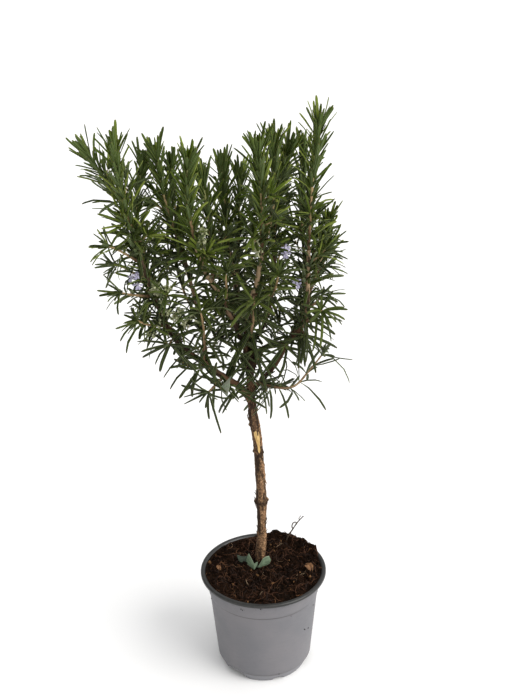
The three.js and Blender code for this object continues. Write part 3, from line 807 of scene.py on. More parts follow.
def buildTrunk():
    path, radii = limbPaths["trunk"], limbs["trunk"][1]
    sides, rows = 88, 560
    line, angle, run, wide, plates = woodSkin(path, radii, sides, rows, 41, bark["flakeDepth"])
    high = line[:, 2] / mm
    tangent, side, rise = framesOf(line[None])
    heading = np.cos(angle)[None, :, None] * side[0][:, None] + np.sin(angle)[None, :, None] * rise[0][:, None]
    turn = np.degrees(np.arctan2(heading[..., 1], heading[..., 0]))
    # the knot is a ring of creased lumps; the scar is a shallow flat whose width tapers downwards
    spot = np.stack([5 * np.cos(angle) * np.ones((rows, 1)), 5 * np.sin(angle) * np.ones((rows, 1)),
                     high[:, None] * np.ones(sides)], -1)
    ring = np.exp(-((high - bark["knot"]) / 3.0) ** 2)[:, None]
    above = np.exp(-((high - bark["knot"] - 11) / 2.4) ** 2)[:, None] * np.clip(np.sin(angle + 1), 0, 1)
    creases = np.abs(lumps(spot * [0.5, 0.5, 2.6], 2.2, 63))
    wide = wide + ring * (2.0 + 0.7 * np.abs(np.sin(2 * angle + 0.6)) - 1.3 * creases) + 0.6 * above
    wide = wide + 0.3 * crumble(spot * [1, 1, 0.6], 2.6, 64, 3)
    plates = plates * (1 - 0.9 * ring)
    top, bottom = bark["scar"]
    share = np.clip((top - high) / (top - bottom), 0, 1)[:, None]
    offTurn = np.abs((turn - bark["scarTurn"] - 10 * share + 180) % 360 - 180)
    half = bark["scarHalf"] * (1 - 0.75 * share ** 1.6) * np.sqrt(np.clip(share * 9, 0, 1)) + 5 * lumps(np.stack(
        [0 * turn, 0 * turn, run[:, None] * np.ones(sides)], -1), 5, 77)
    bare = np.clip(1.6 - offTurn / np.maximum(half, 4) * 1.1, 0, 1)
    bare = bare * ((high > bottom) & (high < top))[:, None]
    wide = wide - 0.75 * np.clip(bare * 1.5, 0, 1)
    for nubHigh, nubTurn in bark["nubs"]:
        off = np.abs((turn - nubTurn + 180) % 360 - 180) * math.pi / 180 * 4.6
        wide = wide + 1.5 * np.exp(-(off ** 2 + (high[:, None] - nubHigh) ** 2) / 2.6)
    points, faces = tubes(line[None], wide[None] * mm, sides)
    clay = Clay()
    ends = [0, 0]
    clay.add(points, faces, relief=np.r_[plates.ravel(), ends], bare=np.r_[bare.ravel(), ends])
    # loose flakes of bark that stand off the trunk at one end
    own = np.random.default_rng(12)
    count = bark["flakes"]
    row = own.integers(110, rows - 60, count)
    column = own.integers(0, sides, count)
    row, column = np.stack([row, column])[:, bare[row, column] < 0.1]
    count = len(row)
    outward = heading[row, column]
    base = line[row] + outward * (wide[row, column] * mm - 0.25 * mm)[:, None]
    up = np.where(own.uniform(size=count) > 0.5, 1, -1)[:, None] * tangent[0][row]
    length = own.uniform(2.5, 8, count) * mm
    outline = [(0, 0.8), (0.15, 1), (0.5, 0.9), (0.8, 0.7), (0.97, 0.35), (1, 0)]
    section = [(0, 0.12), (-1, -0.25), (-0.9, -0.42), (0, -0.05), (0.9, -0.42), (1, -0.25)]
    heading2 = unit(up + outward * own.uniform(0.02, 0.16, count)[:, None])
    face = unit(outward - heading2 * (outward * heading2).sum(1)[:, None])
    chips, bladeRows, bladeColumns = blades(base, heading2, face, length, own.uniform(0.9, 2.2, count) * mm,
                                            own.uniform(-0.5, 0.15, count), np.zeros(count),
                                            own.uniform(-0.5, 0.5, count), outline, section)
    clay.add(chips, bladeFaces(count, bladeRows, bladeColumns), relief=np.repeat(
        own.uniform(0.3, 1, count), chips.shape[1]), bare=0)
    points, faces = pebbles(np.array(bark["knobs"]) * mm, np.array(bark["knobSizes"]) * mm, 71, 12, 22)
    # a low relief gives the knobs the same darkening as the sunk bark
    clay.add(points, faces, relief=0.12, bare=0)
    clay.fire("trunk_wood", "bark", [barkPaint("trunk_bark", False)], "trunk")
    print("trunk ready")


def buildBranches():
    paint = barkPaint("branch_bark", True)
    for index, (name, path) in enumerate(limbPaths.items()):
        if name == "trunk":
            continue
        rows = int(runLength(path)[-1] / mm * 1.4)
        sides = 28
        line, angle, run, wide, plates = woodSkin(path, limbs[name][1], sides, rows, 60 + 7 * index, 0.34)
        # a swelling at every leaf scar
        wide = wide * (1 + 0.1 * np.clip(np.sin(run / 8.5 * fullTurn), 0, 1) ** 4)[:, None]
        points, faces = tubes(line[None], wide[None] * mm, sides)
        clay = Clay()
        clay.add(points, faces, relief=np.r_[plates.ravel(), 0, 0], bare=0)
        clay.fire(name + "_wood", "bark", [paint], name)
    print("branches ready")


buildTrunk()
buildBranches()


# ---- the leafy shoots

needle = {
    "outline": [(0, 0.45), (0.1, 0.78), (0.3, 1), (0.7, 1), (0.91, 0.86), (0.985, 0.52), (1, 0)],
    "section": [(0, 0.08), (-0.66, 0.36), (-1, -0.24), (0, -0.14), (1, -0.24), (0.66, 0.36)],
    "length": (32, 31, 26),      # at the foot, the middle and the tip of a shoot
    "width": (3.1, 2.8, 2.6),
    "lean": (78, 46, 23),        # degrees from the stem
    "bend": (1.0, 0.3, 0.05),
    "droop": (0.34, 0.1, 0),
    "gap": (9.4, 4.9, 3.5),      # millimetres between pairs
    "extra": (0.2, 1.4, 2.6),    # smaller needles in the axil of each, on average
    "sprigGap": 32,              # millimetres between side sprigs
    "sprigLength": (8, 24),
    "sprigExtra": (0.2, 0.3, 0.3),
    "tuftYouth": 0.15,
    "tuftExtra": (0.15, 0.15, 0.15),
    "tipCut": 13,                # the last millimetres of a young stem, hidden by its needles
    "shades": 24,                # different leaves that share the colour map
}

# the limb, the place along it, where its leaves begin on the limb, the points to its tip, how young its tip is,
# the size of its needles, and how closely they stand
shoots = {
    "shoot_left": ("left_branch", 1, 0.26, [[-116, -30, 515], [-120, -34, 561]], 1, 1, 1),
    "shoot_far_left": ("left_branch", 0.9, 0.9, [[-121, -14, 503], [-151, -8, 551]], 1, 1, 1),
    "shoot_left_inner": ("left_branch", 0.76, 0.6, [[-110, 14, 478], [-103, 34, 535]], 1, 1, 0.8),
    "shoot_left_back": ("left_back_branch", 1, 0.12, [[-85, 20, 498], [-91, 16, 546]], 1, 1, 0.85),
    "shoot_left_behind": ("left_back_branch", 0.8, 0.8, [[-78, 42, 488], [-80, 50, 527]], 1, 1, 0.8),
    "shoot_centre_left": ("centre_left_branch", 1, 0.12, [[-60, -37, 510], [-57, -42, 552]], 1, 1, 1),
    "shoot_inner_left": ("centre_left_branch", 0.6, 0.4, [[-43, 4, 462], [-50, 13, 524]], 1, 1, 0.85),
    "shoot_centre": ("centre_branch", 1, 0.12, [[3, -33, 510], [0, -40, 559]], 1, 1, 1),
    "shoot_centre_right": ("centre_branch", 0.88, 0.88, [[14, -10, 500], [14, -5, 557]], 1, 1, 1),
    "shoot_right": ("right_branch", 1, 0.3, [[48, -8, 515], [54, -12, 576]], 1, 1, 1),
    "shoot_right_behind": ("right_branch", 0.72, 0.5, [[41, 30, 462], [42, 45, 541]], 1, 1, 0.85),
    "shoot_far_right": ("low_right_branch", 1, 0.14, [[63, 23, 464], [65, 16, 484]], 1, 0.88, 0.8),
    "shoot_far_right_back": ("low_right_branch", 0.72, 0.72, [[62, 34, 431], [67, 30, 453]], 0.8, 0.78, 0.9),
    "shoot_back": ("back_branch", 1, 0.1, [[-32, 56, 485], [-33, 57, 524]], 1, 1, 1),
    "shoot_back_inner": ("back_branch", 0.62, 0.4, [[-19, 66, 460], [-16, 72, 514]], 1, 1, 1),
    "shoot_back_right": ("back_right_branch", 1, 0.1, [[17, 36, 485], [30, 22, 548]], 1, 1, 1),
    "shoot_back_low_left": ("back_branch", 0.45, 0.45, [[-36, 60, 398], [-52, 76, 432]], 0.5, 0.85, 0.65),
    "shoot_back_low_right": ("back_right_branch", 0.55, 0.55, [[14, 64, 400], [24, 78, 440]], 0.6, 0.85, 0.8),
    "shoot_back_low": ("back_branch", 0.3, 0.3, [[-14, 62, 372], [-14, 88, 400]], 0.5, 0.85, 0.8),
    "shoot_left_low_back": ("left_back_branch", 0.45, 0.45, [[-72, 44, 396], [-82, 62, 428]], 0.45, 0.85, 0.6),
    "shoot_side_1": ("left_branch", 0.94, 0.94, [[-122, -31, 464], [-136, -36, 471]], 0.6, 0.66, 0.9),
    "shoot_side_2": ("left_branch", 0.84, 0.84, [[-122, -6, 440], [-137, 2, 440]], 0.6, 0.66, 0.9),
    "shoot_side_3": ("left_branch", 0.78, 0.78, [[-112, -35, 424], [-127, -42, 430]], 0.45, 0.7, 0.8),
    "shoot_side_4": ("left_branch", 0.66, 0.66, [[-100, -41, 398], [-112, -50, 408]], 0.35, 0.75, 0.8),
    "shoot_low_left": ("left_branch", 0.3, 0.3, [[-45, -29, 329], [-52, -38, 325]], 0.25, 0.95, 0.7),
    "shoot_front_centre": ("centre_branch", 0.18, 0.18, [[-6, -32, 394], [-4, -48, 426]], 0.3, 0.9, 0.7),
    "shoot_front_left": ("left_branch", 0.42, 0.42, [[-50, -38, 388], [-52, -50, 418]], 0.3, 0.9, 0.7),
    "shoot_front_high": ("centre_left_branch", 0.42, 0.42, [[-29, -34, 424], [-29, -44, 452]], 0.4, 0.9, 0.7),
    "shoot_front_right": ("centre_branch", 0.6, 0.6, [[12, -34, 424], [18, -44, 448]], 0.4, 0.85, 0.75),
    "shoot_right_low": ("right_branch", 0.58, 0.58, [[51, -20, 396], [59, -31, 408]], 0.35, 0.85, 0.7),
    "shoot_right_out": ("right_branch", 0.66, 0.66, [[55, 6, 402], [63, 10, 411]], 0.35, 0.75, 0.7),
    "shoot_low_right": ("trunk", 0.885, 0.84, [[28, -6, 318], [48, 2, 334], [63, 6, 352]], 0.3, 1.05, 0.65),
}


# tufts of long hanging needles low in the crown: the shoot they belong to, then the limb, the place along it,
# the way they grow and how long their stem is
tufts = {
    "shoot_low_right": [("low_right_branch", 0.1, (0.7, -0.6, -0.2), 14),
                        ("trunk", 0.9, (0.9, -0.2, -0.3), 12)],
    "shoot_low_left": [("trunk", 0.96, (-0.5, -0.9, -0.1), 9), ("left_branch", 0.2, (-0.2, -0.9, 0.1), 13)],
    "shoot_front_centre": [("centre_branch", 0.1, (0.3, -0.9, 0.2), 15), ("right_branch", 0.3, (0.3, -0.9, 0.2), 15)],
    "shoot_front_left": [("centre_left_branch", 0.12, (-0.4, -0.9, 0.2), 16), ("left_branch", 0.4, (-0.4, -0.8, 0.1), 14)],
    "shoot_right_low": [("right_branch", 0.52, (0.3, -0.8, -0.1), 13)],
    "shoot_side_4": [("left_branch", 0.6, (-0.3, -0.9, -0.1), 13)],
}


def needlePaint():
    paint = Paint("rosemary_needle", Specular_IOR_Level=0.11)
    leaf = paint.map("leafMap")
    around, up = paint.split(leaf, "X"), paint.split(leaf, "Y")
    age, tint = paint.value("age"), paint.value("tint")
    lower = abs(around - 0.5).rises(0.2, 0.12)
    # rib runs along the top's midrib and edge along the margins; both carry painted highlights
    rib = abs(abs(around - 0.5) - 0.5).rises(0.06, 0.01)
    edge = abs(abs(around - 0.5) - 0.17).rises(0.07, 0.02)
    mottle = paint.noise(paint.node("CombineXYZ", values={"X": around * 4, "Y": up * 9, "Z": tint * 37}), 1, 4, 0.6)
    top = paint.mix(age.rises(0.1, 0.9), tone(37, 41, 26), tone(70, 89, 9))
    # painted light and shade: young needles of high tint are painted as lit, bright yellow-green, and needles of low
    # tint as shaded, near black
    top = paint.mix(tint.rises(0.45, 1) * age.rises(0.2, 0.8) * 0.75, top, tone(146, 158, 72))
    top = paint.mix(tint.rises(0.45, 0) * 0.75, top, tone(16, 22, 5))
    top = paint.mix(mottle.rises(0.35, 0.75) * 0.4, top, tone(46, 58, 14))
    top = paint.mix(up.rises(0.25, 0) * 0.45, top, tone(124, 140, 72))
    # the midrib lightened: partly its own paler line, partly a painted highlight
    top = paint.mix(rib * 0.4, top, tone(110, 128, 60))
    pale = paint.mix(mottle.rises(0.3, 0.7), tone(68, 76, 54), tone(106, 114, 90))
    pale = paint.mix(age * 0.85, pale, tone(62, 82, 12))
    pale = paint.mix(abs(around - 0.5).rises(0.03, 0.005) * 0.5, pale, tone(140, 148, 122))
    colour = paint.mix(lower, top, pale)
    # painted highlight along the margins, stronger on older needles
    colour = paint.mix(edge * (0.35 + 0.35 * age.rises(0.8, 0.3)), colour, tone(128, 138, 96))
    colour = paint.mix(up.rises(0.95, 1) * 0.5, colour, tone(120, 96, 60))
    height = mottle + rib * -1.5
    return paint.finish(colour, 0.34 + lower * 0.4 + mottle * 0.1, height, 0.12)


def stemPaint():
    paint = Paint("shoot_stem", Specular_IOR_Level=0.2)
    age = paint.value("age")
    lines = paint.map("leafMap", (14, 3, 1))
    streak = paint.noise(lines, 1, 4, 0.6)
    colour = paint.mix(age.rises(0.05, 0.45), tone(92, 69, 48), tone(164, 138, 100))
    colour = paint.mix(age.rises(0.45, 0.95), colour, tone(158, 162, 104))
    colour = paint.mix(streak.rises(0.5, 0.75) * 0.6, colour, tone(206, 184, 146))
    colour = paint.mix(streak.rises(0.45, 0.3) * 0.5, colour, tone(84, 62, 42))
    return paint.finish(colour, 0.65, streak, 0.2)


def byAge(values, age):  # blends a foot, middle and tip value
    return np.interp(age, [0, 0.5, 1], values)


def dressShoot(path, own, youth, scale, density, extra):
    # pairs of needles, each pair a quarter turn on from the last, with smaller ones in their axils
    total = runLength(path)[-1] / mm
    ages = np.linspace(0, 1, 400)
    old = (1 - youth) * 0.35
    spacing = byAge(needle["gap"], old + (youth - old) * ages) / density
    pairs = np.cumsum(total / 400 / spacing)
    nodeAge = np.interp(np.arange(1, int(pairs[-1]) + 1) - 0.4, pairs, ages)
    nodeAge = np.r_[nodeAge, 0.99, 1, 1, 1]
    count = len(nodeAge)
    places = along(path, nodeAge * total * mm)
    tangents = unit(along(path, np.minimum(nodeAge * total + 1, total) * mm)
                    - along(path, np.maximum(nodeAge * total - 1.5, 0) * mm))
    side = unit(np.cross(tangents, [0.31, 0.95, 0.05]))
    rise = np.cross(tangents, side)
    turn = np.arange(count) * math.pi / 2 + own.normal(0, 0.22, count) + own.uniform(0, fullTurn)
    # the first copy of each leaf is the main one; the others crowd in its axil
    copies = 1 + own.poisson(byAge(extra, old + (youth - old) * nodeAge)[:, None], (count, 2))
    leaf = np.repeat(np.arange(count * 2), copies.ravel())
    node, half = leaf // 2, leaf % 2
    main = np.r_[True, leaf[1:] != leaf[:-1]]
    age = old + (youth - old) * nodeAge[node]
    amount = len(leaf)
    angle = turn[node] + half * math.pi + np.where(main, own.normal(0, 0.12, amount), own.normal(0, 0.75, amount))
    lean = byAge(needle["lean"], age) + own.normal(0, 1, amount) * (15 - 9 * age)
    lean = np.radians(np.where(main, lean, lean * own.uniform(0.35, 0.95, amount)).clip(4, 118))
    length = byAge(needle["length"], age) * own.uniform(0.78, 1.16, amount) * scale
    length = np.where(main, length, length * own.uniform(0.35, 0.85, amount)) * mm
    width = byAge(needle["width"], age) * own.uniform(0.85, 1.15, amount) * math.sqrt(scale) * mm
    width = np.where(main, width, width * 0.85)
    bend = byAge(needle["bend"], age) + own.normal(0, 1, amount) * (0.55 - 0.38 * age)
    droop = byAge(needle["droop"], age) * own.uniform(0.2, 1.8, amount)
    outward = np.cos(angle)[:, None] * side[node] + np.sin(angle)[:, None] * rise[node]
    heading = np.cos(lean)[:, None] * tangents[node] + np.sin(lean)[:, None] * outward
    face = np.sin(lean)[:, None] * tangents[node] - np.cos(lean)[:, None] * outward
    base = places[node] + outward * 0.7 * mm
    twist = own.normal(0, 0.5, amount)
    return base, heading, face, length, width, bend, droop, twist, age, main


def addNeedles(clay, leaves, own, paint):
    base, heading, face, length, width, bend, droop, twist, age, main = leaves
    points, rows, columns = blades(base, heading, face, length, width, bend, droop, twist,
                                   needle["outline"], needle["section"])
    # leaves of one shade share a cell of the bake map, so age and tint belong to the shade
    shades = needle["shades"]
    level = np.clip(np.round(age * 5), 0, 5).astype(int)
    shade = level * 4 + own.integers(0, 4, len(base))
    shadeAge = (shade // 4) / 5
    # the tint sets the mottle and also picks the lit or the shaded copy of the needle colour
    shadeTintAndLight = ((shade * 7) % 4 + 0.5 + 0.3 * ((shade * 5) % 3 - 1)) / 4
    s = np.array(needle["outline"])[:, 0]
    i, j = np.meshgrid(np.arange(rows - 1), np.arange(columns), indexing="ij")
    quads = np.stack([np.stack([(j + a) / columns, s[i + b]], -1)
                      for a, b in ((0, 0), (1, 0), (1, 1), (0, 1))], -2).reshape(-1, 4, 2)
    k = np.arange(columns) / columns
    foot = np.stack([np.stack([k + a, 0 * k + b], -1) for a, b in
                     ((0.5 / columns, 0), (1 / columns, 0.004), (0, 0.004))], -2)
    tip = np.stack([np.stack([k + a, 0 * k + b], -1) for a, b in
                    ((0.5 / columns, 1), (0, s[-2]), (1 / columns, s[-2]))], -2)
    ends = np.concatenate([foot, tip])
    corner = np.stack([(shade % 12) / 12, (shade // 12) * 0.42], -1)[:, None, None, :]
    maps = {
        "leafMap": [np.broadcast_to(part, (len(base), *part.shape)) for part in (quads, ends)],
        "OFBake": [corner + (part * 0.9 + 0.05) * np.array([1 / 12, 0.42]) for part in (quads, ends)],
    }
    each = points.shape[1]
    clay.add(points, bladeFaces(len(base), rows, columns), paint, maps,
             age=np.repeat(shadeAge, each), tint=np.repeat(shadeTintAndLight, each))


def addStem(clay, path, first, last, paint, youth):
    # a tapering tube with a slight swelling at each pair of leaves
    rows, sides = max(12, int(runLength(path)[-1] / mm / 2.2)), 8
    line = evenly(path, rows)
    share = np.linspace(0, 1, rows)
    radius = (first + (last - first) * share) * (1 + 0.12 * np.sin(share * rows * 2.3)) * mm
    points, faces = tubes(line[None], radius[None, :, None], sides)
    i, j = np.meshgrid(np.arange(rows - 1), np.arange(sides), indexing="ij")
    quads = np.stack([np.stack([(j + a) / sides, (i + b) / rows], -1)
                      for a, b in ((0, 0), (1, 0), (1, 1), (0, 1))], -2).reshape(-1, 4, 2)
    k = np.arange(sides) / sides
    foot = np.stack([np.stack([k + a, 0 * k + b], -1) for a, b in
                     ((0.5 / sides, 0), (1 / sides, 0.004), (0, 0.004))], -2)
    ends = np.concatenate([foot, foot * [1, -1] + [0, 1]])
    corner = np.array([0, 0.86])
    maps = {
        "leafMap": [quads, ends],
        "OFBake": [corner + (part[..., ::-1] * 0.96 + 0.02) * [1, 0.13] for part in (quads, ends)],
    }
    clay.add(points, faces, paint, maps, age=youth * np.r_[np.repeat(share, sides), 0, 1], tint=0.5)


def addSprigs(clay, path, own, youth, scale, paint):
    # short side shoots, more of them towards the foot, each turning upward as it grows
    total = runLength(path)[-1] / mm
    low, high = needle["sprigLength"]
    groups = []
    for share in own.beta(1.7, 1.6, int(total / needle["sprigGap"])) * 0.8 + 0.04:
        start, ahead = along(path, np.array([share * total, min(share * total + 2, total)]) * mm) / mm
        onward = unit(ahead - start + 1e-6)
        outward = unit(np.cross(onward, own.normal(size=3)))
        heading = unit(outward + onward * own.uniform(0.2, 0.8))
        length = own.uniform(low, high) * (1 - 0.4 * share) * scale
        middle, end = start + heading * length * 0.5, start + heading * length + [0, 0, length * 0.22]
        stem = smoothPath([start, middle, end], 6)
        young = youth * (0.25 + 0.6 * share)
        addStem(clay, stem, 0.7, 0.4, paint, young)
        size = scale * own.uniform(0.6, 0.92)
        groups.append(dressShoot(stem, own, young, size, 1, needle["sprigExtra"]))
    return [np.concatenate(parts) for parts in zip(*groups)]


def limbPoint(limb, share):
    path = limbPaths[limb]
    where = share * (len(path) - 1)
    return np.array([np.interp(where, np.arange(len(path)), path[:, axis]) for axis in range(3)])


def buildShoots():
    needles, stems = needlePaint(), stemPaint()
    count = 0
    for index, (name, plan) in enumerate(shoots.items()):
        limb, at, leafy, through, youth, scale, density = plan
        own = np.random.default_rng(100 + index)
        start = limbPoint(limb, at)
        stem = smoothPath([list(start / mm), *through])
        line = limbPaths[limb]
        low, high = int(leafy * (len(line) - 1)), int(at * (len(line) - 1))
        path = np.vstack([line[low:high], stem]) if high - low > 2 else stem
        clay = Clay()
        cut = needle["tipCut"] * mm * (1 if youth == 1 else 0.5)
        stem = along(stem, np.linspace(0, runLength(stem)[-1] - cut, 60))
        path = along(path, np.linspace(0, runLength(path)[-1] - cut, 200))
        addStem(clay, stem, 1.6, 0.8, 1, youth)
        leaves = dressShoot(path, own, youth, scale, density, needle["extra"])
        if youth == 1:
            sprigs = addSprigs(clay, path, own, youth, scale, 1)
            leaves = [np.concatenate(parts) for parts in zip(leaves, sprigs)]
        for tuftLimb, place, heading, length in tufts.get(name, []):
            start = limbPoint(tuftLimb, place) / mm
            end = start + length * unit(np.array(heading))
            twigPath = smoothPath([start, (start + end) / 2 + [0, 0, 0.1 * length], end], 8)
            addStem(clay, twigPath, 0.9, 0.5, 1, needle["tuftYouth"])
            tuft = dressShoot(twigPath, own, needle["tuftYouth"], own.uniform(0.9, 1.1), 0.7, needle["tuftExtra"])
            leaves = [np.concatenate(parts) for parts in zip(leaves, tuft)]
        addNeedles(clay, leaves, own, 0)
        count += len(leaves[0])
        clay.fire(name + "_leaves", "leaf", [needles, stems], name)
    print("shoots ready:", count, "needles")


buildShoots()


def middleOf(node):  # the middle of a CAD node's box, in millimetres
    return sum(np.array(corner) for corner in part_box(node)) / 2 / mm


# the pale leaf pieces: pairs of edge points, in millimetres from the middle of the CAD node's box, the shade of
# each pair, and how far the sheet swells between its folds
paleLeaves = {
    "fallen_leaf_left": ([[(-11.5, 9.5, 5), (-9.5, 6, -1)], [(-6, 8, 4.2), (-5.5, 4.5, -1.8)],
                          [(-1, 7, 5), (-2.5, 4, -2)], [(1, 7.5, 8), (-1.5, 2.5, -1.6)],
                          [(4.5, 1, 4.2), (3.5, -3.5, -2)], [(6.3, -3, 2.2), (6.5, -7, -2.2)],
                          [(8.7, -2.3, 3.4), (7.1, -6.7, -2)], [(10.3, -1.3, 3.4), (8.9, -3.5, -1.2)]],
                         [0.15, 0.05, 0.1, 0.9, 0.75, 0.85, 0.6, 0.4], 0.5),
    "fallen_leaf_right": ([[(-10.4, -4, -4.4), (-10.6, -4.4, -5.6)], [(-7.6, -3, -0.6), (-6.6, -4, -5.6)],
                           [(-4.6, -1.6, 4), (-4, -3.4, -4.6)], [(-1.4, -0.6, 5.4), (-0.6, -2.4, -4)],
                           [(1.6, 0.4, 5.6), (1.8, -1.4, -2.8)], [(3.2, 0.6, 1.4), (2.8, 0, -1.6)]],
                          [0.6, 0.75, 0.9, 0.65, 0.8, 0.6], 1.0),
    "broad_leaf": ([[(6.6, -3, 14), (6.2, -3, 13.8)], [(5, -2.5, 9), (1.5, -4.5, 8.6)], [(4.6, -2, 3.4), (-4, -4.5, 3)],
                    [(3.6, -2, -1.4), (-2.6, -4, -1.8)], [(2.4, -2.6, -6.4), (1, -3, -6.8)]],
                   [1.2, 1.1, 1.0, 1.2, 1.0], 0.8),
}


def paleLeafPaint():
    paint = Paint("pale_leaf", Specular_IOR_Level=0.3)
    where = paint.place()
    along, across, shade = paint.value("along"), paint.value("across"), paint.value("shade")
    lines = paint.node("CombineXYZ", values={"X": across * 22, "Y": along * 3, "Z": shade})
    ribs = paint.noise(lines, 1, 3, 0.6, 0.3)
    cloud = paint.noise(where, 3, 4)
    colour = paint.mix(shade.rises(0.1, 0.9), tone(44, 54, 45), tone(98, 116, 92))
    colour = paint.mix(shade.rises(0.9, 1.1), colour, tone(104, 107, 94))
    colour = paint.mix(ribs.rises(0.5, 0.7) * 0.5, colour, tone(126, 142, 114))
    colour = paint.mix(ribs.rises(0.48, 0.34) * 0.45, colour, tone(34, 44, 34))
    colour = paint.mix(cloud.rises(0.5, 0.75) * 0.5, colour, tone(66, 76, 56))
    edge = abs(across - 0.5).rises(0.42, 0.49)
    colour = paint.mix(edge * shade.rises(0, 0.8) * 0.6, colour, tone(164, 178, 150))
    speck = paint.noise(where, 0.7, 3).rises(0.66, 0.72)
    colour = paint.mix(speck * 0.7, colour, tone(60, 44, 30))
    return paint.finish(colour, 0.55 + ribs * 0.2, ribs + cloud * 0.5, 0.3)


def buildPaleLeaves():
    paint = paleLeafPaint()
    for name, (edges, shades, bulge) in paleLeaves.items():
        edges = np.array(edges) + middleOf(name)
        points, faces, along, across = ribbon(edges, 10 * len(edges), 12, 0.45, bulge, 0.5)
        ripple = 0.25 * lumps(points, 3, 6)[:, None] + 0.12 * np.sin(across * 26)[:, None]
        points = points + ripple * [0, -0.8, 0.6]
        shade = np.interp(along, np.linspace(0, 1, len(shades)), shades)
        clay = Clay()
        clay.add(points * mm, faces, along=along, across=across, shade=shade)
        clay.fire(name + "_sheet", "pale_leaf", [paint], name)
    print("pale leaves ready")


flower = {
    "petal": [(0, 0.3), (0.2, 0.45), (0.5, 0.85), (0.75, 1), (0.93, 0.7), (1, 0)],
    "sepal": [(0, 0.7), (0.4, 1), (0.8, 0.6), (1, 0)],
    "section": [(0, 0.1), (-0.6, 0.2), (-1, 0.3), (0, 0.0), (1, 0.3), (0.6, 0.2)],
    # for each petal: degrees round the throat, lean from it, length and width in millimetres, and bend
    "petals": [(78, 22, 5, 2.3, -0.5), (102, 22, 4.8, 2.3, -0.5), (185, 62, 4.4, 1.9, 0.9), (-5, 62, 4.4, 1.9, 0.9),
               (250, 58, 5, 2.8, 0.8), (290, 58, 5, 2.8, 0.8)],
    "sepals": 6,
    "stamens": 2,
    # the CAD node, and its flowers: where from the node's middle, in millimetres, and which way each faces
    "places": {
        "flower_left": [((-2, -1.5, 2), (-0.7, -0.7, 0.3)), ((2.5, -2, -4.5), (0.1, -1, 0)),
                        ((1.5, -1, 4.5), (0.4, -0.8, 0.6))],
        "flower_centre": [((0, -1, 1.5), (0.2, -0.8, 0.7)), ((0.5, -1.5, -3.5), (-0.3, -0.9, 0.1))],
        "flower_right": [((0, -1, 1), (-0.3, -0.9, 0.3)), ((1, 0, -3), (0.5, -0.7, -0.1))],
    },
}


def petalPaint():
    paint = Paint("petal", Specular_IOR_Level=0.2)
    where, age = paint.place(), paint.value("age")
    cloud = paint.noise(where, 1.2, 3)
    petal = paint.mix(cloud.rises(0.3, 0.7), tone(146, 141, 172), tone(194, 190, 208))
    petal = paint.mix(age.rises(0.4, 0) * 0.6, petal, tone(190, 184, 196))
    spot = paint.noise(where, 0.5, 2).rises(0.62, 0.7)
    petal = paint.mix(spot * 0.5, petal, tone(88, 76, 132))
    sepal = paint.mix(cloud, tone(72, 76, 56), tone(120, 110, 92))
    colour = paint.mix(paint.value("green"), petal, sepal)
    return paint.finish(colour, 0.6, cloud, 0.1)


def petalsAt(clay, centre, heading, own):
    # the parts stand round the throat: heading x cos(lean) + outward x sin(lean)
    heading = unit(np.array(heading, float))
    side = unit(np.cross(heading, [0, 0, 1]))
    rise = np.cross(side, heading)
    sepals = np.array([(360 * k / flower["sepals"], 14, 3.6, 1.5, -0.2) for k in range(flower["sepals"])])
    stamens = np.array([(80 + 20 * k, 12, 8, 0.45, -0.7) for k in range(flower["stamens"])])
    groups = ((flower["petals"], flower["petal"], 0, 0), (sepals, flower["sepal"], 1, -3.4),
              (stamens, flower["sepal"], 0, 0))
    for parts, outline, green, back in groups:
        turn, lean, length, width, bend = np.array(parts, float).T
        turn, lean = np.radians(turn + own.normal(0, 6, len(turn))), np.radians(lean)[:, None]
        outward = np.cos(turn)[:, None] * side + np.sin(turn)[:, None] * rise
        along = np.cos(lean) * heading + np.sin(lean) * outward
        face = np.sin(lean) * heading - np.cos(lean) * outward
        base = (centre + heading * back + outward * 0.5) * mm
        zero = np.zeros(len(turn))
        points, rows, columns = blades(base, along, face, length * mm, width * mm, bend, zero, zero, outline,
                                       flower["section"])
        s = np.array(outline)[:, 0]
        age = np.tile(np.r_[np.repeat(s[:-1], columns), 0, 1], len(turn))
        clay.add(points, bladeFaces(len(turn), rows, columns), age=age, green=green)
    tube = np.array([centre - heading * 3.6, centre - heading * 1.5, centre + heading * 0.6])[None] * mm
    points, faces = tubes(tube, np.array([0.7, 0.8, 1.1])[None, :, None] * mm, 8)
    clay.add(points, faces, age=0.2, green=0)


def buildFlowers():
    paint = petalPaint()
    own = np.random.default_rng(31)
    for name, places in flower["places"].items():
        clay = Clay()
        for offset, heading in places:
            petalsAt(clay, middleOf(name) + offset, heading, own)
        clay.fire(name + "_petals", "petal", [paint], name)
    print("flowers ready")


# the bud clusters that stand for CAD nodes, each with the small clusters round it, in millimetres from its middle
buds = {
    "places": {
        "buds_left": [(0, 0, 0), (4, -2, -8), (-3, -3, 7), (7, 0, 3)],
        "buds_low_left": [(0, 0, 0), (9, -2, -4), (-7, -2, 5), (4, 0, 6), (-15, -2, -3), (-22, -4, -14), (18, -4, 2)],
        "buds_centre_left": [(0, 0, 0), (-3, -4, 7), (3, 2, -8), (-2, -4, 14)],
        "buds_centre": [(0, 0, 0), (3, -2, -7)],
    },
    "leaves": 22,
    "length": (3.0, 6.5),
    "width": (1.5, 2.3),
    "balls": 9,
    "ball": 1.0,
    "outline": [(0, 0.5), (0.3, 1), (0.7, 0.85), (1, 0)],
    "section": [(0, 0.1), (-0.7, 0.4), (-1, 0.1), (0, -0.3), (1, 0.1), (0.7, 0.4)],
}


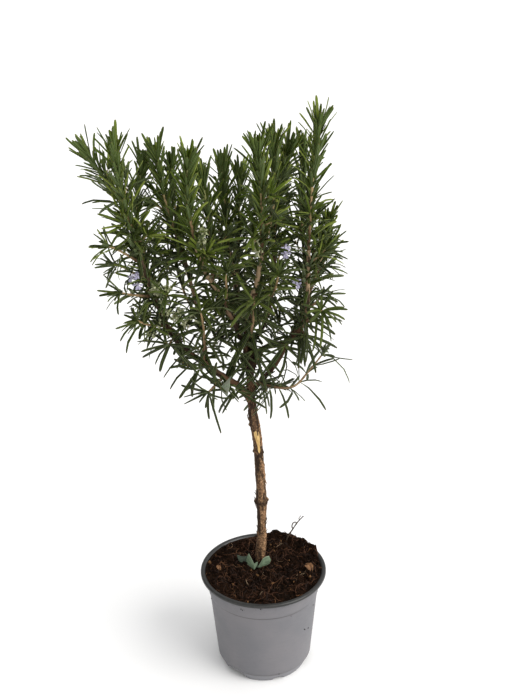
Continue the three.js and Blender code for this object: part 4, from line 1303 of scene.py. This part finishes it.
def budPaint():
    paint = Paint("bud", Specular_IOR_Level=0.2)
    where, tint = paint.place(), paint.value("tint")
    cloud = paint.noise(where, 1.1, 3)
    colour = paint.mix(tint.rises(0, 0.5), tone(104, 114, 72), tone(156, 162, 118))
    colour = paint.mix(tint.rises(0.5, 1), colour, tone(202, 200, 172))
    colour = paint.mix(cloud.rises(0.5, 0.75) * 0.6, colour, tone(172, 176, 146))
    colour = paint.mix(cloud.rises(0.45, 0.3) * 0.5, colour, tone(84, 90, 60))
    return paint.finish(colour, 0.75, cloud, 0.2)


def buildBuds():
    paint = budPaint()
    own = np.random.default_rng(47)
    for name, places in buds["places"].items():
        clay = Clay()
        for offset in places:
            centre = middleOf(name) + offset
            count = buds["leaves"]
            heading = unit(own.normal(0, 1, (count, 3)) + [0, -0.3, 0.7])
            face = unit(np.cross(heading, own.normal(size=(count, 3))))
            base = (centre + heading * 0.6 + own.normal(0, 0.8, (count, 3))) * mm
            zero = np.zeros(count)
            points, rows, columns = blades(base, heading, face, own.uniform(*buds["length"], count) * mm,
                                           own.uniform(*buds["width"], count) * mm, own.normal(0, 0.5, count),
                                           zero, zero, buds["outline"], buds["section"])
            clay.add(points, bladeFaces(count, rows, columns),
                     tint=np.repeat(own.uniform(0, 0.8, count), points.shape[1]))
            count = buds["balls"]
            places = (centre + own.normal(0, 1.9, (count, 3)) + [0, -1, 0]) * mm
            points, faces = pebbles(places, buds["ball"] * own.uniform(0.7, 1.3, (count, 3)) * mm, 3)
            clay.add(points, faces, tint=np.repeat(own.uniform(0.5, 1, count), len(points) // count))
        clay.fire(name + "_cluster", "bud", [paint], name)
    print("buds ready")


# the dry twig: its strands from the foot up, in millimetres from the lowest corner of the CAD node's box, and
# the radius at each strand's ends
twig = {
    "strands": [([(0, 0, -3), (4, 1, 7), (8.5, 2, 14.5), (12.5, 2, 21.5), (16, 2, 26.5), (20, 2, 31)], 0.9, 0.55),
                ([(9, 2, 15.5), (8, 2, 19), (9.3, 2, 23), (12.2, 2, 24), (13, 2, 21)], 0.7, 0.5),
                ([(16, 2, 26.5), (15.6, 2, 29), (17, 2, 31.5)], 0.4, 0.3),
                ([(4, 1, 7), (2.2, 0, 9.5), (2, -1, 12)], 0.45, 0.25)],
    "knots": [(8.5, 2, 14.5), (12.5, 2, 21.5), (16, 2, 26.5), (20, 2, 31), (17, 2, 31.5)],
    "knot": 0.8,
}


def twigPaint():
    paint = Paint("twig_bark", Specular_IOR_Level=0.2)
    grain = paint.noise(paint.place((1, 1, 0.3)), 0.8, 4, 0.65)
    colour = paint.mix(grain.rises(0.35, 0.65), tone(48, 40, 34), tone(86, 72, 58))
    colour = paint.mix(grain.rises(0.64, 0.76) * 0.7, colour, tone(140, 126, 106))
    return paint.finish(colour, 0.8, grain, 0.2)


def buildTwig():
    foot = np.array(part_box("dry_twig")[0]) / mm
    clay = Clay()
    for strand, first, last in twig["strands"]:
        path = evenly(smoothPath(np.array(strand) + foot), 40)
        radius = np.linspace(first, last, 40) * (1 + 0.2 * lumps(path / mm, 1.6, 4))
        points, faces = tubes(path[None], radius[None, :, None] * mm, 8)
        clay.add(points, faces)
    knots = np.array(twig["knots"]) + foot
    points, faces = pebbles(knots * mm, np.full((len(knots), 3), twig["knot"]) * mm, 2)
    clay.add(points, faces)
    clay.fire("dry_twig_wood", "twig_bark", [twigPaint()], "dry_twig")
    print("twig ready")


# curled chips of bark: pairs of edge points in millimetres from the middle of the CAD node's box, and the curl
chips = {
    "bark_chip_right": ([[(-4.6, 3.4, 0.4), (-3, 4.6, 1.4)], [(-4.6, 0.6, 2.2), (2.6, 3.2, 3.6)],
                         [(-2.6, -2.2, 2), (4.6, 0.4, 2.8)], [(0.6, -4.4, -0.6), (4.4, -2.6, 0.2)],
                         [(2.6, -5.2, -2.4), (3.8, -4.8, -2.2)]], 1.6),
    "bark_chip_left": ([[(-2, 3.2, 1.6), (-1, 3.4, 1.8)], [(-2.6, 1, 0.8), (1.4, 1.6, 1.4)],
                        [(-1.4, -1.4, 0.2), (2.4, -0.4, 0.8)], [(0.8, -3, -0.8), (2.4, -2.6, -0.6)]], 0.9),
}


def chipPaint():
    paint = Paint("bark_chip", Specular_IOR_Level=0.25)
    along, across = paint.value("along"), paint.value("across")
    lines = paint.node("CombineXYZ", values={"X": across * 7, "Y": along * 2, "Z": across})
    grain = paint.noise(lines, 1, 5, 0.65, 0.4)
    patch = paint.noise(paint.place(), 2.4, 4)
    colour = paint.mix(grain.rises(0.35, 0.65), tone(92, 62, 40), tone(146, 108, 74))
    colour = paint.mix(grain.rises(0.6, 0.75) * 0.8, colour, tone(186, 152, 112))
    colour = paint.mix(patch.rises(0.5, 0.3) * 0.7, colour, tone(50, 32, 20))
    return paint.finish(colour, 0.75, grain + patch * 0.5, 0.4)


def buildChips():
    paint = chipPaint()
    for name, (edges, curl) in chips.items():
        middle = middleOf(name)
        middle[2] = float(peatHeight(*middle[:2, None])[0]) + 1.6
        points, faces, along, across = ribbon(np.array(edges) + middle, 30, 12, 0.9, curl, 0.2)
        points = points + 0.35 * crumble(points, 2, 15, 3)[:, None] * [0.4, 0.4, 1]
        clay = Clay()
        clay.add(points * mm, faces, along=along, across=across)
        clay.fire(name + "_flake", "bark_chip", [paint], name)
    print("chips ready")


buildPaleLeaves()
buildFlowers()
buildBuds()
buildTwig()
buildChips()
